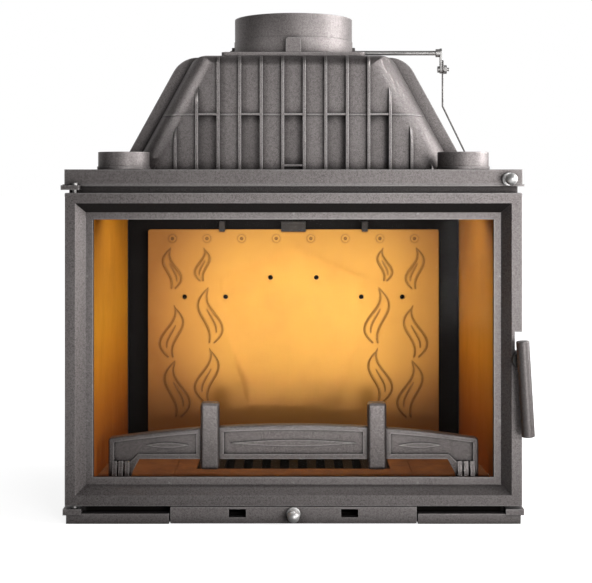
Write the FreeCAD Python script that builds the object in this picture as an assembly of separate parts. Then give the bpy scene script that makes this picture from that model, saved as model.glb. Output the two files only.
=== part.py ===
import FreeCAD, Part
import math
import os

# Cast-iron fireplace insert: glazed door, ribbed smoke hood, flue damper and primary-air slide.
# Millimetres. X runs to the right, Y to the back and Z up.
# The flue's axis is X = Y = 0 and the underside of the base is Z = 0.

Vector = FreeCAD.Vector

# Door
DOOR_WIDTH = 698.0
DOOR_HEIGHT = 478.0
DOOR_THICKNESS = 20.0
DOOR_BOTTOM = 27.0
DOOR_SETBACK = 230.0        # door front to the flue's axis
DOOR_BORDER = 16.0          # outer flat of the moulding
DOOR_BEVEL = 14.0           # width and depth of the sloping part
DOOR_LIP = 11.0             # inner flat round the glass
GLASS_THICKNESS = 4.0
GLASS_OVERLAP = 5.0
GASKET_THICKNESS = 0.5
SEAL_GAP = 8.0              # door back to frame front
SEAL_RADIUS = 3.7
SEAL_INSET = 23.5
SEAL_CORNER = 18.0
HINGE_INSET = 13.5          # hinge axis from the door's left edge
HINGE_DEPTH = 9.0           # hinge axis behind the door's front
HINGE_PIN_RADIUS = 3.0
HINGE_PIN_REACH = 18.0      # length inside the door
RUNNING_FIT = 0.06
CLEARANCE = 0.3

# Front frame, walls and base
FRAME_THICKNESS = 10.0
FRAME_SETBACK = 19.0        # frame side edge inside the door's edge
FRAME_OPENING_MARGIN = 4.0  # frame opening beyond the glass opening
FRAME_BAND_INSET = 2.0      # wider top band inside the door's edge
FRAME_BAND_LAP = 8.0        # top band below the door's top
BODY_DEPTH = 342.0          # frame back to the rear wall's inner face
BODY_SETBACK = 5.5          # side wall inside the frame's edge
BODY_TAPER = 15.6           # how much each side wall closes in towards the rear
WALL = 7.0
FIN_THICKNESS = 5.0
FIN_HEIGHT = 8.0
SIDE_FINS = 5
REAR_FINS = 7
FLANGE_DEPTH = 6.0          # inner flange on a side wall's front edge
BASE_THICKNESS = 8.0
TRAY_WALL = 12.0
HEARTH_TOP = 58.0
HEARTH_THICKNESS = 12.0
TOP_GAP = 28.0              # door top to the top plate's underside
TOP_THICKNESS = 8.0
LINTEL_DEPTH = 14.0         # lintel face behind the door's front
LINTEL_THICKNESS = 10.0
LINTEL_DROP = 15.0          # lintel below the top plate's underside
LINTEL_OVERHANG = 3.0
LEDGE_THICKNESS = 3.0
LUG_WIDTH = 28.0
LUG_OVERHANG = 6.0
UPPER_LUG_GAP = 4.5
RAIL_DEPTH = 13.0
RAIL_HEIGHT = 15.7
RAIL_EDGE = 1.6             # rounding along the rail's top front edge
LUG_SINK = 2.6              # lower lug's underside below the rail's top
LOWER_LUG_GAP = 4.5

# Air intake and its slide
COVER_WIDTH = 376.0
COVER_GAP = 2.0
COVER_TOP_GAP = 1.0
AIR_SLOT_X = 85.7
AIR_SLOT_WIDTH = 26.0
AIR_SLOT_HEIGHT = 12.4
AIR_KNOB_Z = 15.5
AIR_TRAVEL = 30.0
SHELF_WIDTH = 340.0
SHELF_DEPTH = 77.0
SHELF_SHEET = 3.0
SHELF_TOP = 33.0
SHELF_HOLE_WIDTH = 44.0
SHELF_HOLE_DEPTH = 24.0
SHUTTER_LAP = 4.0
KNOB_RADIUS = 9.25
AIR_ROD_RADIUS = 4.0
BUSH_RADIUS = 10.5
BUSH_THICKNESS = 3.0

# Firebox
LINING = 6.0
LINING_RISE = 2.0           # side lining's top above the glass opening's top
LINING_LENGTH = 290.0
BACK_PLATE_INSET = 46.1     # plate's edge inside the rear wall's end
BACK_PLATE_BOTTOM = 64.0
BACK_PLATE_DROP = 27.0      # plate's top below the glass opening's top
BACK_PLATE_THICKNESS = 8.0
BACK_PLATE_GAP = 22.0       # plate back to the rear wall
NOZZLES = 8
NOZZLE_PITCH = 62.5
NOZZLE_DROP = 16.3
NOZZLE_RADIUS = 6.5
NOZZLE_HEIGHT = 3.0
NOZZLE_RECESS = 3.2         # radius of the blind recess in a nozzle
AIR_HOLE_RADIUS = 4.5
SEAM_X = 190.0
GRATE_HALF = 157.0
GRATE_REAR_GAP = 65.0       # grate opening to the rear wall
FIRE_BARS = 11
FIRE_BAR_WIDTH = 15.0
GUARD_SETBACK = 32.0        # guard's middle behind the front frame
GUARD_INSET = 16.0          # guard's end inside the glass opening
GUARD_THICKNESS = 14.0
GUARD_SIDE_TOP = 118.0
GUARD_CROWN = 139.0
GUARD_RAIL_BOTTOM = 85.0
GUARD_POST_X = 131.5
GUARD_POST_WIDTH = 29.5
GUARD_POST_TOP = 174.0
GUARD_POST_GAP = 11.5       # post's lower end above the hearth
GUARD_END_ROUND = 6.0
GUARD_LIP_ROUND = 3.0
BAFFLE_THICKNESS = 8.0
BAFFLE_LIFT = 2.0           # baffle's rear edge above the glass opening's top
BAFFLE_RISE = 44.0
BAFFLE_LENGTH = 208.0

# Smoke hood and flue
HOOD_HEIGHT = 186.0
HOOD_INSET = 61.8           # hood's foot inside the door's edge
HOOD_SLOPE = 0.552          # sideways shrink per unit of height
HOOD_SHOULDER = 46.0
HOOD_STEP = 23.7            # front half inside the rear half
HOOD_FRONT_MARGIN = 28.0    # hood face in front of the flue collar
HOOD_FRONT_DEPTH = 48.0     # depth of the hood's front half
HOOD_BACK_MARGIN = 30.0     # hood back behind the flue collar
HOOD_WALL = 10.0
HOOD_FACE_WALL = 22.0
HOOD_EDGE = 18.0            # rounding along the hood's top edges
HOOD_SIDE_ROUND = 40.0      # rounding between the hood's face and its slanted sides
RIB_PITCH = 34.5
RIBS_PER_SIDE = 7
RIB_THICKNESS = 4.5
RIB_HEIGHT = 8.0
RIB_INSET = 34.5
RIDGE_Z = 88.0              # ridge above the hood's base
POCKET_DEPTH = 12.0
SHELF_BAR = 3.4             # thickness of the bars across the pockets
SHELF_BAR_LIFT = 6.0        # lowest bar above the hood's base
FLUE_RADIUS = 100.0
FLUE_WALL = 7.0
FLUE_HEIGHT = 65.0
FLUE_STEP = 27.0            # thicker lower part of the collar
FLUE_STEP_EXTRA = 0.9
FLUE_FLANGE_SIDE = 17.0     # flange beyond the collar at the sides
FLUE_FLANGE_FRONT = 12.0    # flange beyond the collar at the front
FLUE_FLANGE_BACK = 4.0      # flange beyond the collar at the back
FLUE_SCREW_INSET = 12.0     # flange screw inside the flange's side and back edges
FLUE_FLANGE = 6.0
FLANGE_CORNER = 10.0
BOSS_HALF = 12.3
BOSS_HEIGHT = 24.5
BOSS_CORNER = 5.0
SPIGOT_INSET = 82.5         # spigot axis inside the door's edge
SPIGOT_DEPTH = 57.0         # spigot axis behind the door's front
SPIGOT_RADIUS = 40.0
SPIGOT_BORE = 34.0
SPIGOT_HEIGHT = 27.5
SPIGOT_BEAD = 1.5

# Damper
SHAFT_RADIUS = 4.0
SHAFT_RISE = 10.0           # shaft axis above the collar's flange
SHAFT_INSET = 33.7          # shaft's end inside the hood's foot
BLADE_GAP = 2.0
BLADE_THICKNESS = 3.0
BLADE_TILT = 30.0
CRANK_LENGTH = 28.0
CRANK_THICKNESS = 3.0
CRANK_BOLT_RADIUS = 3.0
WIRE_RADIUS = 1.5
WIRE_SLACK_Y = 1.2          # play of the crank bolt in the wire's eye
WIRE_SLACK_UP = 9.0
WIRE_DROP = 63.0            # straight part of the wire below the crank bolt
WIRE_REAR_GAP = 55.0        # wire's rear bend to the rear wall
DAMPER_KNOB_INSET = 18.2    # knob inside the door's right edge
DAMPER_KNOB_RISE = 8.0      # knob above the lintel's lower edge
DAMPER_KNOB_DEPTH = -12.0

# Handle and latch
HANDLE_RISE = 224.0         # spindle above the door's lower edge
HANDLE_INSET = 5.0          # spindle inside the door's right edge
NOTCH_DEPTH = 11.0
NOTCH_BELOW = 19.0
NOTCH_ABOVE = 42.0
SPINDLE_RADIUS = 4.5
GRIP_RADIUS = 10.0
GRIP_LENGTH = 145.0
GRIP_ABOVE = 30.5           # grip above the spindle's axis
GRIP_TILT = 3.4
GRIP_OFFSET = 3.6           # grip's line beside the spindle's axis
GRIP_DEPTH = -21.0
HUB_RADIUS = 12.0
TENON_RADIUS = 4.0
GRIP_SCREW_RADIUS = 2.0
FINGER_LENGTH = 40.0
FINGER_WIDTH = 8.0
FINGER_THICKNESS = 6.0
FINGER_GAP = 3.0            # frame back to the finger's front
FINGER_ANGLE = 12.0
KEEPER_THICKNESS = 2.5

# Positions that follow from the sizes above
DOOR_HALF = DOOR_WIDTH / 2
DOOR_FRONT = -DOOR_SETBACK
DOOR_BACK = DOOR_FRONT + DOOR_THICKNESS
DOOR_TOP = DOOR_BOTTOM + DOOR_HEIGHT
MOULDING = DOOR_BORDER + DOOR_BEVEL + DOOR_LIP
GLASS_HALF = DOOR_HALF - MOULDING
GLASS_LOW = DOOR_BOTTOM + MOULDING
GLASS_HIGH = DOOR_TOP - MOULDING
HINGE_X = -DOOR_HALF + HINGE_INSET
HINGE_Y = DOOR_FRONT + HINGE_DEPTH
FRAME_FRONT = DOOR_BACK + SEAL_GAP
FRAME_BACK = FRAME_FRONT + FRAME_THICKNESS
FRAME_HALF = DOOR_HALF - FRAME_SETBACK
BODY_FRONT_HALF = FRAME_HALF - BODY_SETBACK
BODY_BACK = FRAME_BACK + BODY_DEPTH
REAR_OUT = BODY_BACK + WALL
HEARTH_LOW = HEARTH_TOP - HEARTH_THICKNESS
TOP_LOW = DOOR_TOP + TOP_GAP
TOP_Z = TOP_LOW + TOP_THICKNESS
LINTEL_FACE = DOOR_FRONT + LINTEL_DEPTH
LINTEL_LOW = TOP_LOW - LINTEL_DROP
LINTEL_HALF = DOOR_HALF + LINTEL_OVERHANG
RAIL_BACK = DOOR_FRONT + RAIL_DEPTH
COVER_HALF = COVER_WIDTH / 2
HOOD_BASE_HALF = DOOR_HALF - HOOD_INSET
HOOD_FRONT = -FLUE_RADIUS - HOOD_FRONT_MARGIN
HOOD_JOINT = HOOD_FRONT + HOOD_FRONT_DEPTH
HOOD_BACK = FLUE_RADIUS + HOOD_BACK_MARGIN
HOOD_TOP = TOP_Z + HOOD_HEIGHT
FLUE_BORE = FLUE_RADIUS - FLUE_WALL
FLANGE_HALF = FLUE_RADIUS + FLUE_FLANGE_SIDE
FLANGE_FRONT = -FLUE_RADIUS - FLUE_FLANGE_FRONT
FLANGE_BACK = FLUE_RADIUS + FLUE_FLANGE_BACK
BLADE_RADIUS = FLUE_BORE - BLADE_GAP
FLANGE_TOP = HOOD_TOP + FLUE_FLANGE
FLUE_TOP = FLANGE_TOP + FLUE_HEIGHT
SHAFT_Z = FLANGE_TOP + SHAFT_RISE
SHAFT_END = HOOD_BASE_HALF - SHAFT_INSET
CRANK_Z = SHAFT_Z - CRANK_LENGTH
CRANK_X = SHAFT_END - CRANK_THICKNESS
WIRE_X = SHAFT_END + CLEARANCE + WIRE_RADIUS
WIRE_BEND_Z = CRANK_Z - WIRE_DROP
WIRE_REAR_Y = BODY_BACK - WIRE_REAR_GAP
DAMPER_KNOB_X = DOOR_HALF - DAMPER_KNOB_INSET
DAMPER_KNOB_Z = LINTEL_LOW + DAMPER_KNOB_RISE
HANDLE_X = DOOR_HALF - HANDLE_INSET
HANDLE_Z = DOOR_BOTTOM + HANDLE_RISE
LINING_TOP = GLASS_HIGH + LINING_RISE
BACK_PLATE_BACK = BODY_BACK - BACK_PLATE_GAP
BACK_PLATE_FRONT = BACK_PLATE_BACK - BACK_PLATE_THICKNESS
BACK_PLATE_HALF = BODY_FRONT_HALF - BODY_TAPER - BACK_PLATE_INSET
BACK_PLATE_TOP = GLASS_HIGH - BACK_PLATE_DROP
GRATE_FRONT = FRAME_BACK + SHELF_DEPTH
GRATE_BACK = BODY_BACK - GRATE_REAR_GAP
GUARD_Y = FRAME_BACK + GUARD_SETBACK
GUARD_HALF = GLASS_HALF - GUARD_INSET
BAFFLE_REAR_Z = GLASS_HIGH + BAFFLE_LIFT
SPIGOT_X = DOOR_HALF - SPIGOT_INSET
SPIGOT_Y = DOOR_FRONT + SPIGOT_DEPTH
SHELF_HOLE_Y = FRAME_BACK + SHELF_DEPTH - SHELF_HOLE_DEPTH - 11.0

NORMALS = {"xy": Vector(0, 0, 1), "xz": Vector(0, 1, 0), "yz": Vector(1, 0, 0)}
AXES = {"x": Vector(1, 0, 0), "y": Vector(0, 1, 0), "z": Vector(0, 0, 1)}


def place(plane, a, b, depth):
    if plane == "xy":
        return Vector(a, b, depth)
    if plane == "xz":
        return Vector(a, depth, b)
    return Vector(depth, a, b)


def outline(plane, points, depth, radius=0.0):
    # Closed wire through the points, with each corner rounded by its own radius.
    radii = radius if isinstance(radius, list) else [radius] * len(points)
    corners = []
    for index, (a, b) in enumerate(points):
        corner = place(plane, a, b, depth)
        before = (place(plane, *points[index - 1], depth) - corner).normalize()
        after = (place(plane, *points[(index + 1) % len(points)], depth) - corner).normalize()
        if radii[index] <= 0:
            corners.append((corner, None, corner))
            continue
        half = before.getAngle(after) / 2
        reach = radii[index] / math.tan(half)
        inward = (before + after).normalize()
        crown = corner + inward * (radii[index] / math.sin(half) - radii[index])
        corners.append((corner + before * reach, crown, corner + after * reach))
    edges = []
    for index, (start, crown, end) in enumerate(corners):
        previous = corners[index - 1][2]
        if (start - previous).Length > 1e-6:
            edges.append(Part.makeLine(previous, start))
        if crown is not None:
            edges.append(Part.Arc(start, crown, end).toShape())
    return Part.Wire(Part.__sortEdges__(edges))


def slab(plane, points, start, end, radius=0.0):
    face = Part.Face(outline(plane, points, start, radius))
    return face.extrude(NORMALS[plane] * (end - start))


def box(x0, x1, y0, y1, z0, z1):
    return Part.makeBox(x1 - x0, y1 - y0, z1 - z0, Vector(x0, y0, z0))


def rod(axis, radius, start, end, first, second):
    # Cylinder along one axis; first and second are the other two coordinates in X, Y, Z order.
    base = {"x": Vector(start, first, second), "y": Vector(first, start, second),
            "z": Vector(first, second, start)}
    return Part.makeCylinder(radius, end - start, base[axis], AXES[axis])


def tube(axis, radius, bore, start, end, first, second):
    return rod(axis, radius, start, end, first, second).cut(rod(axis, bore, start, end, first, second))


def join(shapes):
    return shapes[0].multiFuse(shapes[1:]).removeSplitter()


def mirrored(shape):
    return shape.mirror(Vector(0, 0, 0), Vector(1, 0, 0))


def rectangle(half, low, high):
    return [(-half, low), (half, low), (half, high), (-half, high)]


def ring(half, low, high, inset, start, end):
    inner = slab("xz", rectangle(half - inset, low + inset, high - inset), start, end)
    return slab("xz", rectangle(half, low, high), start, end).cut(inner)


def wall_x(y):
    # Outer half-width of the body at a given depth.
    return BODY_FRONT_HALF - BODY_TAPER * (y - FRAME_BACK) / BODY_DEPTH


def body_plan(inset, front, back):
    return [
        (-wall_x(front) + inset, front),
        (wall_x(front) - inset, front),
        (wall_x(back) - inset, back),
        (-wall_x(back) + inset, back),
    ]


def flat_screw(radius, length, head, back, x, y, z):
    # Flush screw along Y whose head lies in the plane y; back is +1 where the point goes to +Y.
    depth = head - radius
    axis = Vector(0, back, 0)
    cone = Part.makeCone(head, radius, depth, Vector(x, y, z), axis)
    shank = Part.makeCylinder(radius, length, Vector(x, y, z), axis)
    return cone.fuse(shank).removeSplitter()


def picked(shape, wanted):
    # Edges of a shape whose bounds pass a test.
    return [edge for edge in shape.Edges if wanted(edge.BoundBox)]


def save(name, shapes):
    shape = Part.makeCompound(shapes) if isinstance(shapes, list) else shapes
    solids = shape.Solids
    if not solids or not all(solid.isValid() for solid in solids):
        raise ValueError("bad solid in " + name)
    clean = solids[0] if len(solids) == 1 else Part.makeCompound(solids)
    clean.exportStep("parts/" + name + ".step")


# Door

def clip_places():
    # Each clip: middle of its foot and the direction from the foot to the glass.
    reach = GLASS_HALF + GLASS_OVERLAP + CLEARANCE + 3.5
    low = GLASS_LOW - GLASS_OVERLAP - CLEARANCE - 3.5
    high = GLASS_HIGH + GLASS_OVERLAP + CLEARANCE + 3.5
    middle = (GLASS_LOW + GLASS_HIGH) / 2
    rise = (GLASS_HIGH - GLASS_LOW) * 0.28
    places = []
    for z in (middle - rise, middle + rise):
        places.append((-reach, z, 1, 0))
        places.append((reach, z, -1, 0))
    for x in (-GLASS_HALF * 0.62, 0.0, GLASS_HALF * 0.62):
        places.append((x, low, 0, 1))
        places.append((x, high, 0, -1))
    return places


CLIP_BACK = DOOR_BACK + GASKET_THICKNESS + GLASS_THICKNESS + CLEARANCE + 2.0
CLIP_SCREW_DEPTH = 4.0


def clip_screws():
    length = CLIP_BACK - DOOR_BACK + CLIP_SCREW_DEPTH
    return [flat_screw(1.5, length, 2.8, -1, x, CLIP_BACK, z) for x, z, _, _ in clip_places()]


def glass_clips():
    clips = []
    tongue_front = CLIP_BACK - 2.0
    for x, z, dx, dz in clip_places():
        if dx:
            foot = box(x - 3.5, x + 3.5, DOOR_BACK, CLIP_BACK, z - 11, z + 11)
            tip = x + dx * 7.5
            tongue = box(min(x, tip), max(x, tip), tongue_front, CLIP_BACK, z - 11, z + 11)
        else:
            foot = box(x - 11, x + 11, DOOR_BACK, CLIP_BACK, z - 3.5, z + 3.5)
            tip = z + dz * 7.5
            tongue = box(x - 11, x + 11, tongue_front, CLIP_BACK, min(z, tip), max(z, tip))
        clips.append(join([foot, tongue]))
    return [clip.cut(screw) for clip, screw in zip(clips, clip_screws())]


def block_screw_places():
    low = HANDLE_Z - NOTCH_BELOW
    return [(HANDLE_X - 4.0, low - 7.0), (HANDLE_X - 4.0, low - 19.0)]


BLOCK_THICKNESS = 14.0
BLOCK_BACK = DOOR_BACK + BLOCK_THICKNESS


def block_screws():
    length = BLOCK_THICKNESS + 12.0
    return [flat_screw(2.0, length, 3.8, -1, x, BLOCK_BACK, z) for x, z in block_screw_places()]


def door_frame():
    body = slab("xz", rectangle(DOOR_HALF, DOOR_BOTTOM, DOOR_TOP), DOOR_FRONT, DOOR_BACK, 2.0)
    opening = slab("xz", rectangle(GLASS_HALF, GLASS_LOW, GLASS_HIGH), DOOR_FRONT, DOOR_BACK)
    outer = DOOR_BORDER
    inner = DOOR_BORDER + DOOR_BEVEL
    mouth = outline("xz", rectangle(DOOR_HALF - outer, DOOR_BOTTOM + outer, DOOR_TOP - outer), DOOR_FRONT)
    floor_y = DOOR_FRONT + DOOR_BEVEL
    throat = outline("xz", rectangle(DOOR_HALF - inner, DOOR_BOTTOM + inner, DOOR_TOP - inner), floor_y)
    moulding = Part.makeLoft([mouth, throat], True)
    notch = box(DOOR_HALF - NOTCH_DEPTH, DOOR_HALF + 1, DOOR_FRONT, DOOR_BACK,
                HANDLE_Z - NOTCH_BELOW, HANDLE_Z + NOTCH_ABOVE)
    bore = HINGE_PIN_RADIUS + RUNNING_FIT
    low_bore = rod("z", bore, DOOR_BOTTOM, DOOR_BOTTOM + HINGE_PIN_REACH + 1, HINGE_X, HINGE_Y)
    high_bore = rod("z", bore, DOOR_TOP - HINGE_PIN_REACH - 1, DOOR_TOP, HINGE_X, HINGE_Y)
    body = body.cut(opening).cut(moulding).cut(notch).cut(low_bore).cut(high_bore)
    for screw in clip_screws() + block_screws():
        body = body.cut(screw)
    return body


def glass_rectangle():
    return rectangle(GLASS_HALF + GLASS_OVERLAP, GLASS_LOW - GLASS_OVERLAP, GLASS_HIGH + GLASS_OVERLAP)


def door_glass():
    front = DOOR_BACK + GASKET_THICKNESS
    return slab("xz", glass_rectangle(), front, front + GLASS_THICKNESS)


def glass_gasket():
    half, low = GLASS_HALF + GLASS_OVERLAP, GLASS_LOW - GLASS_OVERLAP
    high = GLASS_HIGH + GLASS_OVERLAP
    return ring(half, low, high, GLASS_OVERLAP - 1.0, DOOR_BACK, DOOR_BACK + GASKET_THICKNESS)


def door_rope_seal():
    half = DOOR_HALF - SEAL_INSET
    middle = DOOR_BACK + SEAL_GAP / 2
    low, high = DOOR_BOTTOM + SEAL_INSET, DOOR_TOP - SEAL_INSET
    pieces = [rod("x", SEAL_RADIUS, -half + SEAL_CORNER, half - SEAL_CORNER, middle, z) for z in (low, high)]
    for side in (-1, 1):
        pieces.append(rod("z", SEAL_RADIUS, low + SEAL_CORNER, high - SEAL_CORNER, side * half, middle))
        for z, up in ((low, 1), (high, -1)):
            centre = Vector(side * (half - SEAL_CORNER), middle, z + up * SEAL_CORNER)
            start = centre - Vector(0, 0, up * SEAL_CORNER)
            section = Part.Face(Part.Wire(Part.makeCircle(SEAL_RADIUS, start, AXES["x"])))
            pieces.append(section.revolve(centre, Vector(0, -side * up, 0), 90))
    return join(pieces)


def bearing_block():
    foot = box(DOOR_HALF - NOTCH_DEPTH - 4.0, DOOR_HALF - 1.0, DOOR_BACK, BLOCK_BACK,
               HANDLE_Z - NOTCH_BELOW - 25.0, HANDLE_Z + 10.0)
    boss = rod("y", 10.0, DOOR_BACK, BLOCK_BACK, HANDLE_X, HANDLE_Z)
    bore = rod("y", SPINDLE_RADIUS + RUNNING_FIT, DOOR_BACK, BLOCK_BACK, HANDLE_X, HANDLE_Z)
    block = join([foot, boss]).cut(bore)
    for screw in block_screws():
        block = block.cut(screw)
    return block


# Handle

GRIP_Y = DOOR_FRONT + GRIP_DEPTH
HUB_FRONT = DOOR_FRONT - 9.0
HUB_BACK = DOOR_FRONT - 1.0
FINGER_FRONT = FRAME_BACK + FINGER_GAP
FINGER_BACK = FINGER_FRONT + FINGER_THICKNESS


def turned(shape, angle):
    # Turns a shape about the spindle; a positive angle swings its lower end to the right.
    copy = shape.copy()
    copy.rotate(Vector(HANDLE_X, 0, HANDLE_Z), Vector(0, -1, 0), angle)
    return copy


def grip_cylinder(radius):
    x = HANDLE_X + GRIP_OFFSET
    top = HANDLE_Z + GRIP_ABOVE
    bar = rod("z", radius, top - GRIP_LENGTH, top, x, GRIP_Y)
    return turned(bar, GRIP_TILT)


def handle_tenon():
    return rod("y", TENON_RADIUS, GRIP_Y - 4.0, HUB_FRONT, HANDLE_X, HANDLE_Z)


def handle_screw():
    # Headless screw from the right side of the grip into a dimple in the tenon.
    start = HANDLE_X + TENON_RADIUS - 1.0
    end = HANDLE_X + GRIP_OFFSET + GRIP_RADIUS - 1.5
    return rod("x", GRIP_SCREW_RADIUS, start, end, GRIP_Y, HANDLE_Z)


def handle_grip():
    x = HANDLE_X + GRIP_OFFSET
    bar = rod("z", GRIP_RADIUS, HANDLE_Z + GRIP_ABOVE - GRIP_LENGTH, HANDLE_Z + GRIP_ABOVE, x, GRIP_Y)
    ends = [edge for edge in bar.Edges if edge.Curve.TypeId == "Part::GeomCircle"]
    bar = bar.makeFillet(1.5, ends)
    hole = rod("x", GRIP_SCREW_RADIUS, HANDLE_X, HANDLE_X + 2 * GRIP_RADIUS, GRIP_Y, HANDLE_Z)
    return turned(bar, GRIP_TILT).cut(handle_tenon()).cut(hole)


def handle_spindle():
    hub = rod("y", HUB_RADIUS, HUB_FRONT - 6.0, HUB_BACK, HANDLE_X, HANDLE_Z).cut(grip_cylinder(GRIP_RADIUS))
    hub = max(hub.Solids, key=lambda solid: solid.Volume)
    pin = rod("y", SPINDLE_RADIUS, HUB_BACK, FINGER_BACK + 6.0, HANDLE_X, HANDLE_Z)
    return join([hub, pin, handle_tenon()]).cut(handle_screw())


def latch_finger():
    points = [
        (HANDLE_X - FINGER_WIDTH / 2, HANDLE_Z - FINGER_LENGTH),
        (HANDLE_X + FINGER_WIDTH / 2, HANDLE_Z - FINGER_LENGTH),
        (HANDLE_X + FINGER_WIDTH / 2, HANDLE_Z),
        (HANDLE_X - FINGER_WIDTH / 2, HANDLE_Z),
    ]
    arm = slab("xz", points, FINGER_FRONT, FINGER_BACK, [2.0, 2.0, 0.0, 0.0])
    hub = rod("y", 9.0, FINGER_FRONT, FINGER_BACK, HANDLE_X, HANDLE_Z)
    bore = rod("y", SPINDLE_RADIUS, FINGER_FRONT, FINGER_BACK, HANDLE_X, HANDLE_Z)
    return turned(join([arm, hub]).cut(bore), -FINGER_ANGLE)


def spindle_nut():
    points = [(HANDLE_X + 8.0 * math.cos(math.radians(60 * k)), HANDLE_Z + 8.0 * math.sin(math.radians(60 * k)))
              for k in range(6)]
    bore = rod("y", SPINDLE_RADIUS, FINGER_BACK, FINGER_BACK + 5.0, HANDLE_X, HANDLE_Z)
    return slab("xz", points, FINGER_BACK, FINGER_BACK + 5.0).cut(bore)


def latch_keeper():
    inner = wall_x(FRAME_BACK) + CLEARANCE
    tip = HANDLE_Z - FINGER_LENGTH
    return box(inner, FRAME_HALF, FRAME_BACK, FRAME_BACK + KEEPER_THICKNESS, tip - 4.0, tip + 20.0)


# Hinges, rails and lintel ledge

UPPER_LUG_LOW = DOOR_TOP + UPPER_LUG_GAP
LEDGE_LOW = LINTEL_LOW - LEDGE_THICKNESS
UPPER_LUG_TOP = LEDGE_LOW + 1.7
LOWER_LUG_TOP = DOOR_BOTTOM - LOWER_LUG_GAP


def upper_ledge():
    outer = DOOR_HALF + LUG_OVERHANG
    strip = box(-outer, outer, LINTEL_FACE, FRAME_FRONT, LEDGE_LOW, LINTEL_LOW)
    nose = box(-outer, -outer + LUG_WIDTH, DOOR_FRONT - 1.0, LINTEL_FACE, UPPER_LUG_LOW, UPPER_LUG_TOP)
    heel = box(-outer, -outer + LUG_WIDTH, LINTEL_FACE, FRAME_FRONT, UPPER_LUG_LOW, LEDGE_LOW)
    bore = rod("z", HINGE_PIN_RADIUS, UPPER_LUG_LOW, UPPER_LUG_TOP, HINGE_X, HINGE_Y)
    return join([strip, nose, heel]).cut(bore)


def lower_rail(side):
    inner = COVER_HALF + COVER_GAP
    outer = DOOR_HALF - 2.0
    bar = box(inner, outer, DOOR_FRONT, RAIL_BACK, 0, RAIL_HEIGHT)
    edges = picked(bar, lambda bounds: bounds.ZMin > RAIL_HEIGHT - 0.01 and bounds.YMax < DOOR_FRONT + 0.01)
    bar = bar.makeFillet(RAIL_EDGE, edges)
    lug_outer = DOOR_HALF + LUG_OVERHANG - 3.0
    lug = box(lug_outer - LUG_WIDTH, lug_outer, DOOR_FRONT - 1.0, RAIL_BACK + 7.0,
              RAIL_HEIGHT - LUG_SINK, LOWER_LUG_TOP)
    rail = join([bar, lug])
    rail = rail if side > 0 else mirrored(rail)
    return rail.cut(rod("z", HINGE_PIN_RADIUS, RAIL_HEIGHT, LOWER_LUG_TOP, HINGE_X, HINGE_Y))


def hinge_pins():
    low = rod("z", HINGE_PIN_RADIUS, RAIL_HEIGHT, DOOR_BOTTOM + HINGE_PIN_REACH, HINGE_X, HINGE_Y)
    high = rod("z", HINGE_PIN_RADIUS, DOOR_TOP - HINGE_PIN_REACH, UPPER_LUG_TOP, HINGE_X, HINGE_Y)
    head = rod("z", HINGE_PIN_RADIUS + 1.5, UPPER_LUG_TOP, UPPER_LUG_TOP + 3.5, HINGE_X, HINGE_Y)
    return [low, join([high, head])]


def hinge_spacer():
    return tube("z", HINGE_PIN_RADIUS + 1.5, HINGE_PIN_RADIUS, LOWER_LUG_TOP, DOOR_BOTTOM - 0.1,
                HINGE_X, HINGE_Y)


# Air intake

def air_cover():
    high = DOOR_BOTTOM - COVER_TOP_GAP
    plate = slab("xz", rectangle(COVER_HALF, 0.6, high), DOOR_FRONT, RAIL_BACK, 1.5)
    low = AIR_KNOB_Z + 0.7 - AIR_SLOT_HEIGHT / 2
    for side in (-1, 1):
        x = side * AIR_SLOT_X
        plate = plate.cut(box(x - AIR_SLOT_WIDTH / 2, x + AIR_SLOT_WIDTH / 2, DOOR_FRONT, RAIL_BACK,
                              low, low + AIR_SLOT_HEIGHT))
    return plate.cut(rod("y", AIR_ROD_RADIUS + 2.5, DOOR_FRONT, RAIL_BACK, 0, AIR_KNOB_Z))


def air_bush():
    flange = rod("y", BUSH_RADIUS, DOOR_FRONT - BUSH_THICKNESS, DOOR_FRONT, 0, AIR_KNOB_Z)
    rim = [edge for edge in flange.Edges if abs(edge.BoundBox.YMax - DOOR_FRONT + BUSH_THICKNESS) < 0.01]
    flange = flange.makeFillet(1.2, [edge for edge in rim if edge.Curve.TypeId == "Part::GeomCircle"])
    sleeve = rod("y", AIR_ROD_RADIUS + 2.5, DOOR_FRONT, RAIL_BACK, 0, AIR_KNOB_Z)
    bore = rod("y", AIR_ROD_RADIUS + RUNNING_FIT, DOOR_FRONT - BUSH_THICKNESS, RAIL_BACK, 0, AIR_KNOB_Z)
    return join([flange, sleeve]).cut(bore)


AIR_KNOB_Y = DOOR_FRONT - BUSH_THICKNESS - KNOB_RADIUS - 5.0
TAB_Y = SHELF_HOLE_Y + SHELF_HOLE_DEPTH / 2


def air_rod():
    return rod("y", AIR_ROD_RADIUS, AIR_KNOB_Y + 3.0, TAB_Y + SHELF_SHEET + 6.0, 0, AIR_KNOB_Z)


def air_knob():
    ball = Part.makeSphere(KNOB_RADIUS, Vector(0, AIR_KNOB_Y, AIR_KNOB_Z))
    neck = rod("y", AIR_ROD_RADIUS + 2.0, AIR_KNOB_Y, AIR_KNOB_Y + KNOB_RADIUS + 2.0, 0, AIR_KNOB_Z)
    return join([ball, neck]).cut(air_rod())


def air_shutter():
    top = SHELF_TOP - SHELF_SHEET - CLEARANCE
    reach = AIR_SLOT_X + SHELF_HOLE_WIDTH / 2 + SHUTTER_LAP
    plate = box(-reach, reach, SHELF_HOLE_Y - SHUTTER_LAP, SHELF_HOLE_Y + SHELF_HOLE_DEPTH + SHUTTER_LAP,
                top - SHELF_SHEET, top)
    tab = box(-9, 9, TAB_Y, TAB_Y + SHELF_SHEET, BASE_THICKNESS + 1.5, top - SHELF_SHEET)
    return join([plate, tab]).cut(air_rod())


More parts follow.
